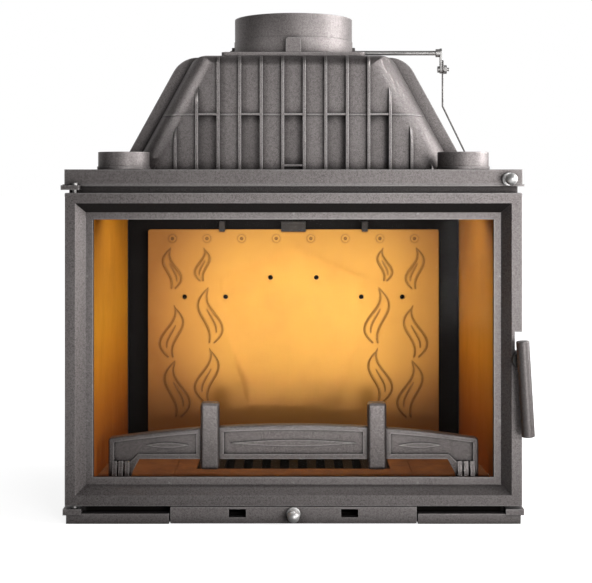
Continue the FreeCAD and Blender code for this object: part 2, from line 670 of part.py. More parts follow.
def air_shelf():
    half = SHELF_WIDTH / 2
    back = FRAME_BACK + SHELF_DEPTH
    cover = box(-half, half, FRAME_BACK, back, BASE_THICKNESS, SHELF_TOP)
    hollow = box(-half + SHELF_SHEET, half - SHELF_SHEET, FRAME_BACK, back - SHELF_SHEET,
                 BASE_THICKNESS, SHELF_TOP - SHELF_SHEET)
    shelf = cover.cut(hollow)
    for side in (-1, 1):
        x = side * AIR_SLOT_X
        shelf = shelf.cut(box(x - SHELF_HOLE_WIDTH / 2, x + SHELF_HOLE_WIDTH / 2, SHELF_HOLE_Y,
                              SHELF_HOLE_Y + SHELF_HOLE_DEPTH, SHELF_TOP - SHELF_SHEET, SHELF_TOP))
    return shelf


# Body castings

def base_tray():
    front = [(-FRAME_HALF, RAIL_BACK), (FRAME_HALF, RAIL_BACK), (FRAME_HALF, FRAME_BACK)]
    rear = [(wall_x(FRAME_BACK), FRAME_BACK), (wall_x(REAR_OUT), REAR_OUT)]
    rear_left = [(-x, y) for x, y in reversed(rear)]
    plate = slab("xy", front + rear + rear_left + [(-FRAME_HALF, FRAME_BACK)], 0, BASE_THICKNESS)
    outer = slab("xy", body_plan(0, FRAME_BACK, REAR_OUT), BASE_THICKNESS, HEARTH_LOW)
    hollow = slab("xy", body_plan(TRAY_WALL, FRAME_BACK - 1, BODY_BACK - 8.0), BASE_THICKNESS, HEARTH_LOW)
    pieces = [plate, outer.cut(hollow)]
    for side in (-1, 1):
        x = side * (SEAM_X - 3.0)
        pieces.append(box(x - 7, x + 7, FRAME_BACK, BODY_BACK - 8.0, BASE_THICKNESS, HEARTH_LOW))
    return join(pieces)


def frame_bolt_places():
    low, high = HEARTH_TOP + 30.0, TOP_LOW - 40.0
    x = wall_x(FRAME_BACK) - WALL + 0.5
    return [(side * x, z) for side in (-1, 1) for z in (low, (low + high) / 2, high)]


def frame_bolts():
    return [flat_screw(2.5, FRAME_THICKNESS + 5.0, 4.5, 1, x, FRAME_FRONT, z) for x, z in frame_bolt_places()]


def front_frame():
    plate = slab("xz", rectangle(FRAME_HALF, BASE_THICKNESS, TOP_LOW), FRAME_FRONT, FRAME_BACK)
    band_half = DOOR_HALF - FRAME_BAND_INSET
    band = box(-band_half, band_half, FRAME_FRONT, FRAME_BACK, DOOR_TOP - FRAME_BAND_LAP, TOP_LOW)
    margin = FRAME_OPENING_MARGIN
    opening = slab("xz", rectangle(GLASS_HALF + margin, HEARTH_TOP + 2.0, GLASS_HIGH + margin + 2.0),
                   FRAME_FRONT, FRAME_BACK, 4.0)
    plate = join([plate, band]).cut(opening)
    for side in (-1, 1):
        x = side * AIR_SLOT_X
        plate = plate.cut(box(x - AIR_SLOT_WIDTH / 2 - 2, x + AIR_SLOT_WIDTH / 2 + 2, FRAME_FRONT, FRAME_BACK,
                              BASE_THICKNESS + 2.0, SHELF_TOP - SHELF_SHEET - 6.0))
    plate = plate.cut(rod("y", AIR_ROD_RADIUS + RUNNING_FIT, FRAME_FRONT, FRAME_BACK, 0, AIR_KNOB_Z))
    plate = plate.cut(rod("y", WIRE_RADIUS + 2.0, FRAME_FRONT, FRAME_BACK, DAMPER_KNOB_X, DAMPER_KNOB_Z))
    for bolt in frame_bolts():
        plate = plate.cut(bolt)
    return plate


def side_wall(side):
    plan = [
        (wall_x(FRAME_BACK), FRAME_BACK),
        (wall_x(BODY_BACK), BODY_BACK),
        (wall_x(BODY_BACK) - WALL, BODY_BACK),
        (wall_x(FRAME_BACK + FLANGE_DEPTH) - WALL, FRAME_BACK + FLANGE_DEPTH),
        (wall_x(FRAME_BACK) - WALL - LINING - CLEARANCE, FRAME_BACK + FLANGE_DEPTH),
        (wall_x(FRAME_BACK) - WALL - LINING - CLEARANCE, FRAME_BACK),
    ]
    pieces = [slab("xy", plan, HEARTH_LOW, TOP_LOW)]
    first = FRAME_BACK + 55.0
    step = (BODY_BACK - 40.0 - first) / (SIDE_FINS - 1)
    for index in range(SIDE_FINS):
        y = first + index * step
        near, far = y - FIN_THICKNESS / 2, y + FIN_THICKNESS / 2
        low, high = HEARTH_TOP + 12.0, DAMPER_KNOB_Z - 30.0
        fin = slab("yz", [(near, low), (far, low), (far, high), (near, high)],
                   wall_x(y) - WALL / 2, wall_x(y) + FIN_HEIGHT)
        pieces.append(fin)
    wall = join(pieces)
    wall = wall if side > 0 else mirrored(wall)
    for bolt in frame_bolts():
        wall = wall.cut(bolt)
    return wall


def rear_wall():
    half = wall_x(BODY_BACK)
    pieces = [box(-half, half, BODY_BACK, REAR_OUT, HEARTH_LOW, TOP_LOW)]
    step = 2 * (half - 30.0) / (REAR_FINS - 1)
    for index in range(REAR_FINS):
        x = -half + 30.0 + index * step
        pieces.append(box(x - FIN_THICKNESS / 2, x + FIN_THICKNESS / 2, REAR_OUT - 2, REAR_OUT + FIN_HEIGHT,
                          HEARTH_TOP + 12.0, TOP_LOW - 30.0))
    return join(pieces)


SMOKE_HALF = HOOD_BASE_HALF - 57.2
SMOKE_FRONT = HOOD_FRONT + HOOD_FACE_WALL + 6.0
SMOKE_BACK = HOOD_BACK - HOOD_WALL - 5.0


def top_plate():
    margin = 2.0
    front = LINTEL_FACE + LINTEL_THICKNESS
    plan = [(-wall_x(front) - margin, LINTEL_FACE), (wall_x(front) + margin, LINTEL_FACE),
            (wall_x(REAR_OUT) + margin, REAR_OUT), (-wall_x(REAR_OUT) - margin, REAR_OUT)]
    plate = slab("xy", plan, TOP_LOW, TOP_Z)
    lintel = box(-LINTEL_HALF, LINTEL_HALF, LINTEL_FACE, front, LINTEL_LOW, TOP_Z)
    plate = join([plate, lintel])
    smoke = slab("xy", [(-SMOKE_HALF, SMOKE_FRONT), (SMOKE_HALF, SMOKE_FRONT),
                        (SMOKE_HALF, SMOKE_BACK), (-SMOKE_HALF, SMOKE_BACK)], TOP_LOW, TOP_Z, 20.0)
    plate = plate.cut(smoke)
    for bolt in hood_bolts():
        plate = plate.cut(bolt)
    return plate.cut(rod("y", 5.0, LINTEL_FACE, front, DAMPER_KNOB_X, DAMPER_KNOB_Z))


def spigot(side):
    x = side * SPIGOT_X
    wall = tube("z", SPIGOT_RADIUS, SPIGOT_BORE, TOP_Z, TOP_Z + SPIGOT_HEIGHT, x, SPIGOT_Y)
    bead = tube("z", SPIGOT_RADIUS + SPIGOT_BEAD, SPIGOT_BORE, TOP_Z, TOP_Z + 5.0, x, SPIGOT_Y)
    return join([wall, bead])


# Smoke hood

def hood_outline(base_half, inset=0.0, lowered=0.0):
    top = HOOD_TOP - lowered
    reach = inset / math.cos(math.atan(HOOD_SLOPE))
    low_half = base_half - reach
    high_half = base_half - reach - HOOD_SLOPE * (top - TOP_Z)
    return [(-low_half, TOP_Z), (low_half, TOP_Z), (high_half, top), (-high_half, top)]


def hood_body(points, start, end, shoulder, edge, face_y):
    body = slab("xz", points, start, end, [0.0, 0.0, shoulder, shoulder])
    rim = picked(body, lambda bounds: max(abs(bounds.YMin - face_y), abs(bounds.YMax - face_y)) < 0.01
                 and bounds.ZMax > TOP_Z + 1.0)
    return body.makeFillet(edge, rim)


def slant_round(base_half):
    # Space bounded by the right slanted side and the face, with a large rounding between them.
    length = math.hypot(1.0, HOOD_SLOPE)
    up = Vector(-HOOD_SLOPE, 0, 1.0) / length
    inward = Vector(-1.0, 0, -HOOD_SLOPE) / length
    foot = Vector(base_half, 0, TOP_Z) - up * HOOD_HEIGHT
    width = 4 * base_half
    bend = HOOD_SIDE_ROUND * (1.0 - math.sqrt(0.5))
    back_near = foot + Vector(0, HOOD_JOINT, 0)
    side_end = foot + Vector(0, HOOD_FRONT + HOOD_SIDE_ROUND, 0)
    crown = foot + inward * bend + Vector(0, HOOD_FRONT + bend, 0)
    face_start = foot + inward * HOOD_SIDE_ROUND + Vector(0, HOOD_FRONT, 0)
    face_end = foot + inward * width + Vector(0, HOOD_FRONT, 0)
    back_far = foot + inward * width + Vector(0, HOOD_JOINT, 0)
    edges = [Part.makeLine(back_near, side_end), Part.Arc(side_end, crown, face_start).toShape(),
             Part.makeLine(face_start, face_end), Part.makeLine(face_end, back_far),
             Part.makeLine(back_far, back_near)]
    return Part.Face(Part.Wire(edges)).extrude(up * (4 * HOOD_HEIGHT))


FRONT_BASE_HALF = HOOD_BASE_HALF - HOOD_STEP
FRONT_SHOULDER = HOOD_SHOULDER - 10.0


def front_cavity(back):
    points = hood_outline(FRONT_BASE_HALF, HOOD_WALL, HOOD_WALL)
    return slab("xz", points, HOOD_FRONT + HOOD_FACE_WALL, back,
                [0.0, 0.0, FRONT_SHOULDER - HOOD_WALL, FRONT_SHOULDER - HOOD_WALL])


def hood_front():
    points = hood_outline(FRONT_BASE_HALF)
    body = hood_body(points, HOOD_FRONT, HOOD_JOINT, FRONT_SHOULDER, HOOD_EDGE, HOOD_FRONT)
    slant = slant_round(FRONT_BASE_HALF)
    body = body.common(slant).common(mirrored(slant))
    shifted = body.copy()
    shifted.translate(Vector(0, -2.0, 0))
    ridge_z = TOP_Z + RIDGE_Z
    band = box(-HOOD_BASE_HALF, HOOD_BASE_HALF, HOOD_FRONT - 3.0, HOOD_JOINT, ridge_z, ridge_z + 3.0)
    ridge = shifted.common(band)
    low_half = FRONT_BASE_HALF - RIB_INSET
    rib_points = [(-low_half, TOP_Z), (low_half, TOP_Z),
                  (low_half - HOOD_SLOPE * (HOOD_HEIGHT - 1.0), HOOD_TOP - 1.0),
                  (-low_half + HOOD_SLOPE * (HOOD_HEIGHT - 1.0), HOOD_TOP - 1.0)]
    rib_front = HOOD_FRONT - RIB_HEIGHT
    envelope = hood_body(rib_points, rib_front, HOOD_JOINT, 10.0, HOOD_EDGE - 2.0, rib_front)
    pieces = [body, ridge]
    for index in range(RIBS_PER_SIDE):
        for side in (-1, 1):
            x = side * RIB_PITCH * (index + 0.5)
            strip = box(x - RIB_THICKNESS / 2, x + RIB_THICKNESS / 2, rib_front, HOOD_FRONT + 18.0,
                        TOP_Z, HOOD_TOP)
            pieces.append(strip.common(envelope))
    hood = join(pieces)
    bars = []
    for cell in (-4, -2, 0, 2, 4):
        x = cell * RIB_PITCH
        half = (RIB_PITCH - RIB_THICKNESS) / 2
        floor = HOOD_FRONT + POCKET_DEPTH
        hood = hood.cut(box(x - half, x + half, rib_front - 1, floor, TOP_Z, ridge_z))
        heights = [ridge_z, TOP_Z + SHELF_BAR_LIFT] if cell == 0 else [ridge_z]
        bars += [box(x - half - 1.0, x + half + 1.0, rib_front + 0.6, floor + 1.0, low, low + SHELF_BAR)
                 for low in heights]
    hood = join([hood] + bars)
    bore = rod("z", FLUE_BORE, HOOD_TOP - 60.0, HOOD_TOP, 0, 0)
    hood = hood.cut(front_cavity(HOOD_JOINT)).cut(bore)
    for screw in collar_screws():
        hood = hood.cut(screw)
    return hood


def hood_bolt_places():
    # Middle of each fixing tab on the top plate, with its direction out of the hood.
    side_x = HOOD_BASE_HALF + 6.0
    back_y = HOOD_BACK + 9.0
    return [(-side_x, 20.0, -1, 0), (side_x, 20.0, 1, 0), (-150.0, back_y, 0, 1), (150.0, back_y, 0, 1)]


TAB_THICKNESS = 8.0


def hood_bolts():
    bolts = []
    for x, y, _, _ in hood_bolt_places():
        corners = [(x + 6.5 * math.cos(math.radians(60 * k)), y + 6.5 * math.sin(math.radians(60 * k)))
                   for k in range(6)]
        head = slab("xy", corners, TOP_Z + TAB_THICKNESS, TOP_Z + TAB_THICKNESS + 5.0)
        shank = rod("z", 3.0, TOP_LOW, TOP_Z + TAB_THICKNESS, x, y)
        bolts.append(join([head, shank]))
    return bolts


def hood_rear():
    points = hood_outline(HOOD_BASE_HALF)
    body = hood_body(points, HOOD_JOINT, HOOD_BACK, HOOD_SHOULDER, HOOD_EDGE, HOOD_BACK)
    shoulder = HOOD_SHOULDER - HOOD_WALL
    inner = slab("xz", hood_outline(HOOD_BASE_HALF, HOOD_WALL, HOOD_WALL), HOOD_JOINT + 8.0,
                 HOOD_BACK - HOOD_WALL, [0.0, 0.0, shoulder, shoulder])
    tabs = []
    for x, y, dx, dy in hood_bolt_places():
        if dx:
            tabs.append(box(x - 16.0, x + 9.0, y - 12, y + 12, TOP_Z, TOP_Z + TAB_THICKNESS) if dx > 0 else
                        box(x - 9.0, x + 16.0, y - 12, y + 12, TOP_Z, TOP_Z + TAB_THICKNESS))
        else:
            tabs.append(box(x - 12, x + 12, y - 16.0, y + 9.0, TOP_Z, TOP_Z + TAB_THICKNESS))
    body = join([body] + tabs)
    bore = rod("z", FLUE_BORE, HOOD_TOP - 60.0, HOOD_TOP, 0, 0)
    body = body.cut(inner).cut(front_cavity(HOOD_JOINT + 8.0)).cut(bore)
    for screw in collar_screws() + hood_bolts():
        body = body.cut(screw)
    return body


def collar_screws():
    screws = []
    for x in (-1, 1):
        for y in (-1, 1):
            base = Vector(x * (FLANGE_HALF - FLUE_SCREW_INSET), y * (FLANGE_BACK - FLUE_SCREW_INSET),
                          FLANGE_TOP)
            cone = Part.makeCone(5.5, 3.0, 2.5, base, Vector(0, 0, -1))
            shank = Part.makeCylinder(3.0, FLUE_FLANGE + HOOD_WALL - 1.0, base, Vector(0, 0, -1))
            screws.append(cone.fuse(shank).removeSplitter())
    return screws


def flue_collar():
    flange = slab("xy", [(-FLANGE_HALF, FLANGE_FRONT), (FLANGE_HALF, FLANGE_FRONT),
                         (FLANGE_HALF, FLANGE_BACK), (-FLANGE_HALF, FLANGE_BACK)],
                  HOOD_TOP, FLANGE_TOP, FLANGE_CORNER)
    lower = rod("z", FLUE_RADIUS + FLUE_STEP_EXTRA, FLANGE_TOP, FLANGE_TOP + FLUE_STEP, 0, 0)
    upper = rod("z", FLUE_RADIUS, FLANGE_TOP + FLUE_STEP, FLUE_TOP, 0, 0)
    boss = slab("xz", rectangle(BOSS_HALF, FLANGE_TOP, FLANGE_TOP + BOSS_HEIGHT), FLANGE_FRONT + 1.0,
                -FLUE_BORE - 2.0, [0.0, 0.0, BOSS_CORNER, BOSS_CORNER])
    ears = [rod("x", SHAFT_RISE - 1.0, side * FLUE_RADIUS - 5.0, side * FLUE_RADIUS + 5.0, 0, SHAFT_Z)
            for side in (-1, 1)]
    bore = rod("z", FLUE_BORE, HOOD_TOP, FLUE_TOP, 0, 0)
    collar = join([flange, lower, upper, boss] + ears).cut(bore)
    reach = FLUE_RADIUS + 6.0
    collar = collar.cut(rod("x", SHAFT_RADIUS + RUNNING_FIT, -reach, reach, 0, SHAFT_Z))
    for screw in collar_screws():
        collar = collar.cut(screw)
    return collar


# Damper

def tilted(shape):
    # Turns a shape about the damper shaft so that its front edge is raised.
    copy = shape.copy()
    copy.rotate(Vector(0, 0, SHAFT_Z), Vector(-1, 0, 0), BLADE_TILT)
    return copy


def damper_pins():
    low = SHAFT_Z - SHAFT_RADIUS - 2.0
    high = SHAFT_Z + SHAFT_RADIUS + BLADE_THICKNESS + 2.0
    return [tilted(rod("z", 2.0, low, high, side * BLADE_RADIUS / 2, 0)) for side in (-1, 1)]


def damper_blade():
    low = SHAFT_Z + SHAFT_RADIUS + 0.05
    blade = tilted(rod("z", BLADE_RADIUS, low, low + BLADE_THICKNESS, 0, 0))
    for pin in damper_pins():
        blade = blade.cut(pin)
    return blade


def damper_shaft():
    # The rod is turned about its axis so that its seam line misses the pin holes.
    shaft = rod("x", SHAFT_RADIUS, -FLUE_RADIUS - 8.0, SHAFT_END, 0, SHAFT_Z)
    shaft.rotate(Vector(0, 0, SHAFT_Z), Vector(-1, 0, 0), BLADE_TILT + 45.0)
    for pin in damper_pins():
        shaft = shaft.cut(pin)
    return shaft


def damper_crank():
    points = [(-7.0, CRANK_Z - 7.0), (7.0, CRANK_Z - 7.0), (7.0, SHAFT_Z + 8.0), (-7.0, SHAFT_Z + 8.0)]
    plate = slab("yz", points, CRANK_X, SHAFT_END, 6.5)
    hub = rod("x", 7.0, CRANK_X - 7.0, CRANK_X, 0, SHAFT_Z)
    shaft = rod("x", SHAFT_RADIUS, CRANK_X - 8.0, SHAFT_END, 0, SHAFT_Z)
    return join([plate, hub]).cut(shaft).cut(rod("x", CRANK_BOLT_RADIUS, CRANK_X, SHAFT_END, 0, CRANK_Z))


def crank_bolt():
    far = WIRE_X + WIRE_RADIUS + CLEARANCE
    shank = rod("x", CRANK_BOLT_RADIUS, CRANK_X - 1.0, far + 9.0, 0, CRANK_Z)
    head = rod("x", CRANK_BOLT_RADIUS + 2.5, CRANK_X - 4.0, CRANK_X, 0, CRANK_Z)
    points = [((CRANK_BOLT_RADIUS + 4.5) * math.cos(math.radians(60 * k + 30)),
               CRANK_Z + (CRANK_BOLT_RADIUS + 4.5) * math.sin(math.radians(60 * k + 30))) for k in range(6)]
    nut = slab("yz", points, far, far + 5.0)
    return join([shank, head, nut])


LINTEL_BUSH_FRONT = LINTEL_FACE - BUSH_THICKNESS


def damper_bush():
    flange = rod("y", BUSH_RADIUS, LINTEL_BUSH_FRONT, LINTEL_FACE, DAMPER_KNOB_X, DAMPER_KNOB_Z)
    rim = [edge for edge in flange.Edges if abs(edge.BoundBox.YMax - LINTEL_BUSH_FRONT) < 0.01]
    flange = flange.makeFillet(1.2, [edge for edge in rim if edge.Curve.TypeId == "Part::GeomCircle"])
    sleeve = rod("y", 5.0, LINTEL_FACE, LINTEL_FACE + LINTEL_THICKNESS, DAMPER_KNOB_X, DAMPER_KNOB_Z)
    bore = rod("y", WIRE_RADIUS + RUNNING_FIT, LINTEL_BUSH_FRONT, LINTEL_FACE + LINTEL_THICKNESS,
               DAMPER_KNOB_X, DAMPER_KNOB_Z)
    return join([flange, sleeve]).cut(bore)


DAMPER_KNOB_Y = DOOR_FRONT + DAMPER_KNOB_DEPTH


def wire_run(start, end):
    length = (end - start).Length
    return Part.makeCylinder(WIRE_RADIUS, length, start, end - start)


def damper_wire():
    front = Vector(DAMPER_KNOB_X, DAMPER_KNOB_Y + 3.0, DAMPER_KNOB_Z)
    rear = Vector(DAMPER_KNOB_X, WIRE_REAR_Y, DAMPER_KNOB_Z)
    bend = Vector(WIRE_X, 0, WIRE_BEND_Z)
    half = CRANK_BOLT_RADIUS + WIRE_SLACK_Y + WIRE_RADIUS
    eye_low = CRANK_Z
    eye_high = CRANK_Z + WIRE_SLACK_UP
    foot = Vector(WIRE_X, 0, eye_low - half)
    pieces = [wire_run(front, rear), wire_run(rear, bend), wire_run(bend, foot)]
    for corner in (rear, bend):
        pieces.append(Part.makeSphere(WIRE_RADIUS, corner))
    for side in (-1, 1):
        pieces.append(rod("z", WIRE_RADIUS, eye_low, eye_high, WIRE_X, side * half))
    for z, turn in ((eye_low, 180.0), (eye_high, 180.0)):
        centre = Vector(WIRE_X, 0, z)
        section = Part.Face(Part.Wire(Part.makeCircle(WIRE_RADIUS, centre - Vector(0, half, 0), AXES["z"])))
        direction = AXES["x"] if z == eye_low else AXES["x"] * -1
        pieces.append(section.revolve(centre, direction, turn))
    return join(pieces)


def damper_knob():
    ball = Part.makeSphere(KNOB_RADIUS, Vector(DAMPER_KNOB_X, DAMPER_KNOB_Y, DAMPER_KNOB_Z))
    front = rod("y", WIRE_RADIUS, DAMPER_KNOB_Y + 3.0, DAMPER_KNOB_Y + KNOB_RADIUS + 5.0,
                DAMPER_KNOB_X, DAMPER_KNOB_Z)
    return ball.cut(front)


# Firebox fittings

def side_lining(side):
    front = FRAME_BACK + FLANGE_DEPTH + CLEARANCE
    back = front + LINING_LENGTH
    outer = WALL + CLEARANCE
    plan = [(wall_x(front) - outer, front), (wall_x(back) - outer, back),
            (wall_x(back) - outer - LINING, back), (wall_x(front) - outer - LINING, front)]
    lining = slab("xy", plan, HEARTH_TOP, LINING_TOP)
    return lining if side > 0 else mirrored(lining)


def back_lining():
    plate = slab("xz", rectangle(BACK_PLATE_HALF, BACK_PLATE_BOTTOM, BACK_PLATE_TOP),
                 BACK_PLATE_FRONT, BACK_PLATE_BACK, 4.0)
    for index in range(NOZZLES):
        x = (index - (NOZZLES - 1) / 2) * NOZZLE_PITCH
        z = BACK_PLATE_TOP - NOZZLE_DROP
        face = BACK_PLATE_FRONT - NOZZLE_HEIGHT
        boss = rod("y", NOZZLE_RADIUS, face, BACK_PLATE_FRONT + 1.0, x, z)
        recess = rod("y", NOZZLE_RECESS, face, BACK_PLATE_FRONT, x, z)
        plate = plate.fuse(boss).cut(recess)
    height = BACK_PLATE_TOP - BACK_PLATE_BOTTOM
    low_row = BACK_PLATE_BOTTOM + 0.673 * height
    for x, z in ((196.9, low_row), (122.8, low_row), (41.5, low_row + 35.0)):
        for side in (-1, 1):
            hole = rod("y", AIR_HOLE_RADIUS, BACK_PLATE_FRONT, BACK_PLATE_BACK, side * x, z)
            plate = plate.cut(hole)
    return plate.removeSplitter()


def back_hooks():
    hooks = []
    low = BACK_PLATE_TOP + CLEARANCE
    for x, half in ((-129.0, 5.0), (0.0, 22.0), (129.0, 5.0)):
        arm = box(x - half, x + half, BACK_PLATE_FRONT - 6.0, BODY_BACK, low, low + 14.0)
        lip = box(x - half, x + half, BACK_PLATE_FRONT - 6.0, BACK_PLATE_FRONT - CLEARANCE, low - 4.0, low)
        hooks.append(join([arm, lip]))
    return hooks


def back_feet():
    feet = []
    for side in (-1, 1):
        x = side * (BACK_PLATE_HALF - 50.0)
        feet.append(box(x - 12, x + 12, BACK_PLATE_FRONT, BODY_BACK - 8.5, HEARTH_TOP, BACK_PLATE_BOTTOM))
    return feet


HEARTH_FRONT = FRAME_BACK + CLEARANCE
HEARTH_BACK = BODY_BACK - CLEARANCE


def hearth_plate(side):
    inset = WALL + LINING + 2 * CLEARANCE
    plan = [(SEAM_X, HEARTH_FRONT), (wall_x(HEARTH_FRONT) - inset, HEARTH_FRONT),
            (wall_x(HEARTH_FRONT + FLANGE_DEPTH) - inset, HEARTH_FRONT + FLANGE_DEPTH),
            (wall_x(HEARTH_FRONT + FLANGE_DEPTH) - WALL - CLEARANCE, HEARTH_FRONT + FLANGE_DEPTH),
            (wall_x(HEARTH_BACK) - WALL - CLEARANCE, HEARTH_BACK), (SEAM_X, HEARTH_BACK)]
    plate = slab("xy", plan, HEARTH_LOW, HEARTH_TOP)
    return plate if side > 0 else mirrored(plate)


GRATE_SEAT = HEARTH_LOW + 4.0


def grate_frame():
    half = SEAM_X - 0.5
    plate = box(-half, half, HEARTH_FRONT, HEARTH_BACK, HEARTH_LOW, HEARTH_TOP)
    upper = box(-GRATE_HALF, GRATE_HALF, GRATE_FRONT, GRATE_BACK, GRATE_SEAT, HEARTH_TOP)
    lower = box(-GRATE_HALF, GRATE_HALF, GRATE_FRONT + 6.0, GRATE_BACK - 6.0, HEARTH_LOW, GRATE_SEAT)
    return plate.cut(upper).cut(lower)


def fire_bars():
    bars = []
    pitch = (2 * GRATE_HALF - FIRE_BAR_WIDTH - 2.0) / (FIRE_BARS - 1)
    for index in range(FIRE_BARS):
        x = (index - (FIRE_BARS - 1) / 2) * pitch
        bars.append(box(x - FIRE_BAR_WIDTH / 2, x + FIRE_BAR_WIDTH / 2, GRATE_FRONT + 1.0, GRATE_BACK - 1.0,
                        GRATE_SEAT, HEARTH_TOP))
    return bars


def ash_pan():
    half = GRATE_HALF + 8.0
    front = FRAME_BACK + SHELF_DEPTH + 5.0
    back = GRATE_BACK + 5.0
    high = HEARTH_LOW - 6.0
    outer = box(-half, half, front, back, BASE_THICKNESS, high)
    inner = box(-half + 2, half - 2, front + 2, back - 2, BASE_THICKNESS + 2, high)
    return outer.cut(inner)


def arc_edge(start, middle, end):
    return Part.Arc(start, middle, end).toShape()


def guard_top(x):
    # Height of the guard's arched top edge.
    return GUARD_CROWN - (GUARD_CROWN - GUARD_SIDE_TOP) * (x / GUARD_HALF) ** 2


def guard_panel(points, arc_from, arc_to, drop, start, end):
    # Face closed by the arched top edge; points run from the arc's end round to its start.
    first = Vector(arc_from, start, guard_top(arc_from) - drop)
    middle_x = (arc_from + arc_to) / 2
    middle = Vector(middle_x, start, guard_top(middle_x) - drop)
    last = Vector(arc_to, start, guard_top(arc_to) - drop)
    corners = [last] + [Vector(x, start, z) for x, z in points] + [first]
    edges = [arc_edge(first, middle, last)]
    edges += [Part.makeLine(a, b) for a, b in zip(corners, corners[1:])]
    return Part.Face(Part.Wire(edges)).extrude(Vector(0, end - start, 0))


def lens(x, z, length, height, start, end):
    left, right = Vector(x - length / 2, start, z), Vector(x + length / 2, start, z)
    edges = [arc_edge(left, Vector(x, start, z + height / 2), right),
             arc_edge(right, Vector(x, start, z - height / 2), left)]
    return Part.Face(Part.Wire(edges)).extrude(Vector(0, end - start, 0))


def hearth_guard():
    low = HEARTH_TOP
    front = GUARD_Y - GUARD_THICKNESS / 2
    back = GUARD_Y + GUARD_THICKNESS / 2
    foot = GUARD_HALF - 36.0
    bottom = GUARD_RAIL_BOTTOM
    points = [(GUARD_HALF, low), (foot, low), (foot - 1.0, low + 5.0), (foot - 13.0, bottom),
              (-foot + 13.0, bottom), (-foot + 1.0, low + 5.0), (-foot, low), (-GUARD_HALF, low)]
    guard = guard_panel(points, -GUARD_HALF, GUARD_HALF, 0.0, front, back)
    ends = picked(guard, lambda bounds: bounds.ZMin > GUARD_SIDE_TOP - 0.01 and bounds.XLength < 0.01)
    guard = guard.makeFillet(GUARD_END_ROUND, ends)
    lips = picked(guard, lambda bounds: bounds.YMax < front + 0.01 and bounds.ZMax > GUARD_SIDE_TOP + 1.0)
    guard = guard.makeFillet(GUARD_LIP_ROUND, lips)
    half_post = GUARD_POST_WIDTH / 2
    inner_end = GUARD_POST_X - half_post - 7.0
    outer_start = GUARD_POST_X + half_post + 7.0
    floor = front + 4.0
    sill = bottom + 8.0
    centre = guard_panel([(inner_end, sill), (-inner_end, sill)], -inner_end, inner_end, 8.0, front, floor)
    side_points = [(GUARD_HALF - 9.0, low + 22.0), (foot + 2.0, low + 22.0),
                   (foot - 11.0, sill), (outer_start, sill)]
    side_panel = guard_panel(side_points, outer_start, GUARD_HALF - 9.0, 8.0, front, floor)
    guard = guard.cut(centre).cut(side_panel).cut(mirrored(side_panel))
    pieces = [guard]
    pieces.append(lens(0, (bottom + GUARD_CROWN) / 2 - 2.0, 200.0, 10.0, floor - 2.5, floor + 1.0))
    side_x = (outer_start + foot - 11.0) / 2
    blade = lens(side_x, (bottom + GUARD_SIDE_TOP) / 2 + 5.0, 68.0, 8.0, floor - 2.5, floor + 1.0)
    pieces += [blade, mirrored(blade)]
    for side in (-1, 1):
        post = box(side * GUARD_POST_X - half_post, side * GUARD_POST_X + half_post, front - 8.0, back + 4.0,
                   low + GUARD_POST_GAP, GUARD_POST_TOP)
        pieces.append(post.makeFillet(5.0, post.Edges))
        for offset in (6.0, 16.0, 26.0):
            x = side * (foot + offset)
            toe = slab("yz", [(front - 6.0, low), (back, low), (back, low + 24.0), (front - 1.0, low + 24.0)],
                       x - 3.5, x + 3.5)
            pieces.append(toe)
    return join(pieces)


def baffle_points(lift, thickness):
    rear, front = BODY_BACK - 2.0, BODY_BACK - 2.0 - BAFFLE_LENGTH
    return [(front, BAFFLE_REAR_Z + BAFFLE_RISE + lift), (rear, BAFFLE_REAR_Z + lift),
            (rear, BAFFLE_REAR_Z + lift + thickness), (front, BAFFLE_REAR_Z + BAFFLE_RISE + lift + thickness)]


def baffle():
    half = wall_x(BODY_BACK) - WALL - 3.0
    return slab("yz", baffle_points(0.0, BAFFLE_THICKNESS), -half, half)


def baffle_rests():
    inner = slab("xy", body_plan(WALL, FRAME_BACK, BODY_BACK), HEARTH_TOP, TOP_LOW)
    half = wall_x(BODY_BACK) - WALL - 14.0
    rests = []
    for side in (-1, 1):
        ends = sorted((side * half, side * DOOR_HALF))
        bar = slab("yz", baffle_points(-8.0, 8.0), ends[0], ends[1])
        rests.append(bar.common(inner))
    return rests


os.makedirs("parts", exist_ok=True)

save("door_frame", door_frame())
save("door_glass", door_glass())
save("glass_gasket", glass_gasket())
save("glass_clips", glass_clips())
save("glass_clip_screws", clip_screws())
save("door_rope_seal", door_rope_seal())
save("handle_bearing", bearing_block())
save("handle_bearing_screws", block_screws())

save("handle_grip", handle_grip())
save("handle_spindle", handle_spindle())
save("handle_screw", handle_screw())
save("latch_finger", latch_finger())
save("spindle_nut", spindle_nut())
save("latch_keeper", latch_keeper())

save("upper_ledge", upper_ledge())
save("left_lower_rail", lower_rail(-1))
save("right_lower_rail", lower_rail(1))
save("hinge_pins", hinge_pins())
save("hinge_spacer", hinge_spacer())

save("air_cover", air_cover())
save("air_bush", air_bush())
save("air_rod", air_rod())
save("air_knob", air_knob())
save("air_shutter", air_shutter())
save("air_shelf", air_shelf())

save("base_tray", base_tray())
save("front_frame", front_frame())
save("frame_bolts", frame_bolts())
save("left_side_wall", side_wall(-1))
save("right_side_wall", side_wall(1))
save("rear_wall", rear_wall())
save("top_plate", top_plate())
save("left_air_spigot", spigot(-1))
save("right_air_spigot", spigot(1))

save("hood_front", hood_front())
save("hood_rear", hood_rear())
save("hood_bolts", hood_bolts())
save("flue_collar", flue_collar())
save("flue_collar_screws", collar_screws())

save("damper_blade", damper_blade())
save("damper_pins", damper_pins())
save("damper_shaft", damper_shaft())
save("damper_crank", damper_crank())
save("crank_bolt", crank_bolt())
save("damper_bush", damper_bush())
save("damper_wire", damper_wire())
save("damper_knob", damper_knob())

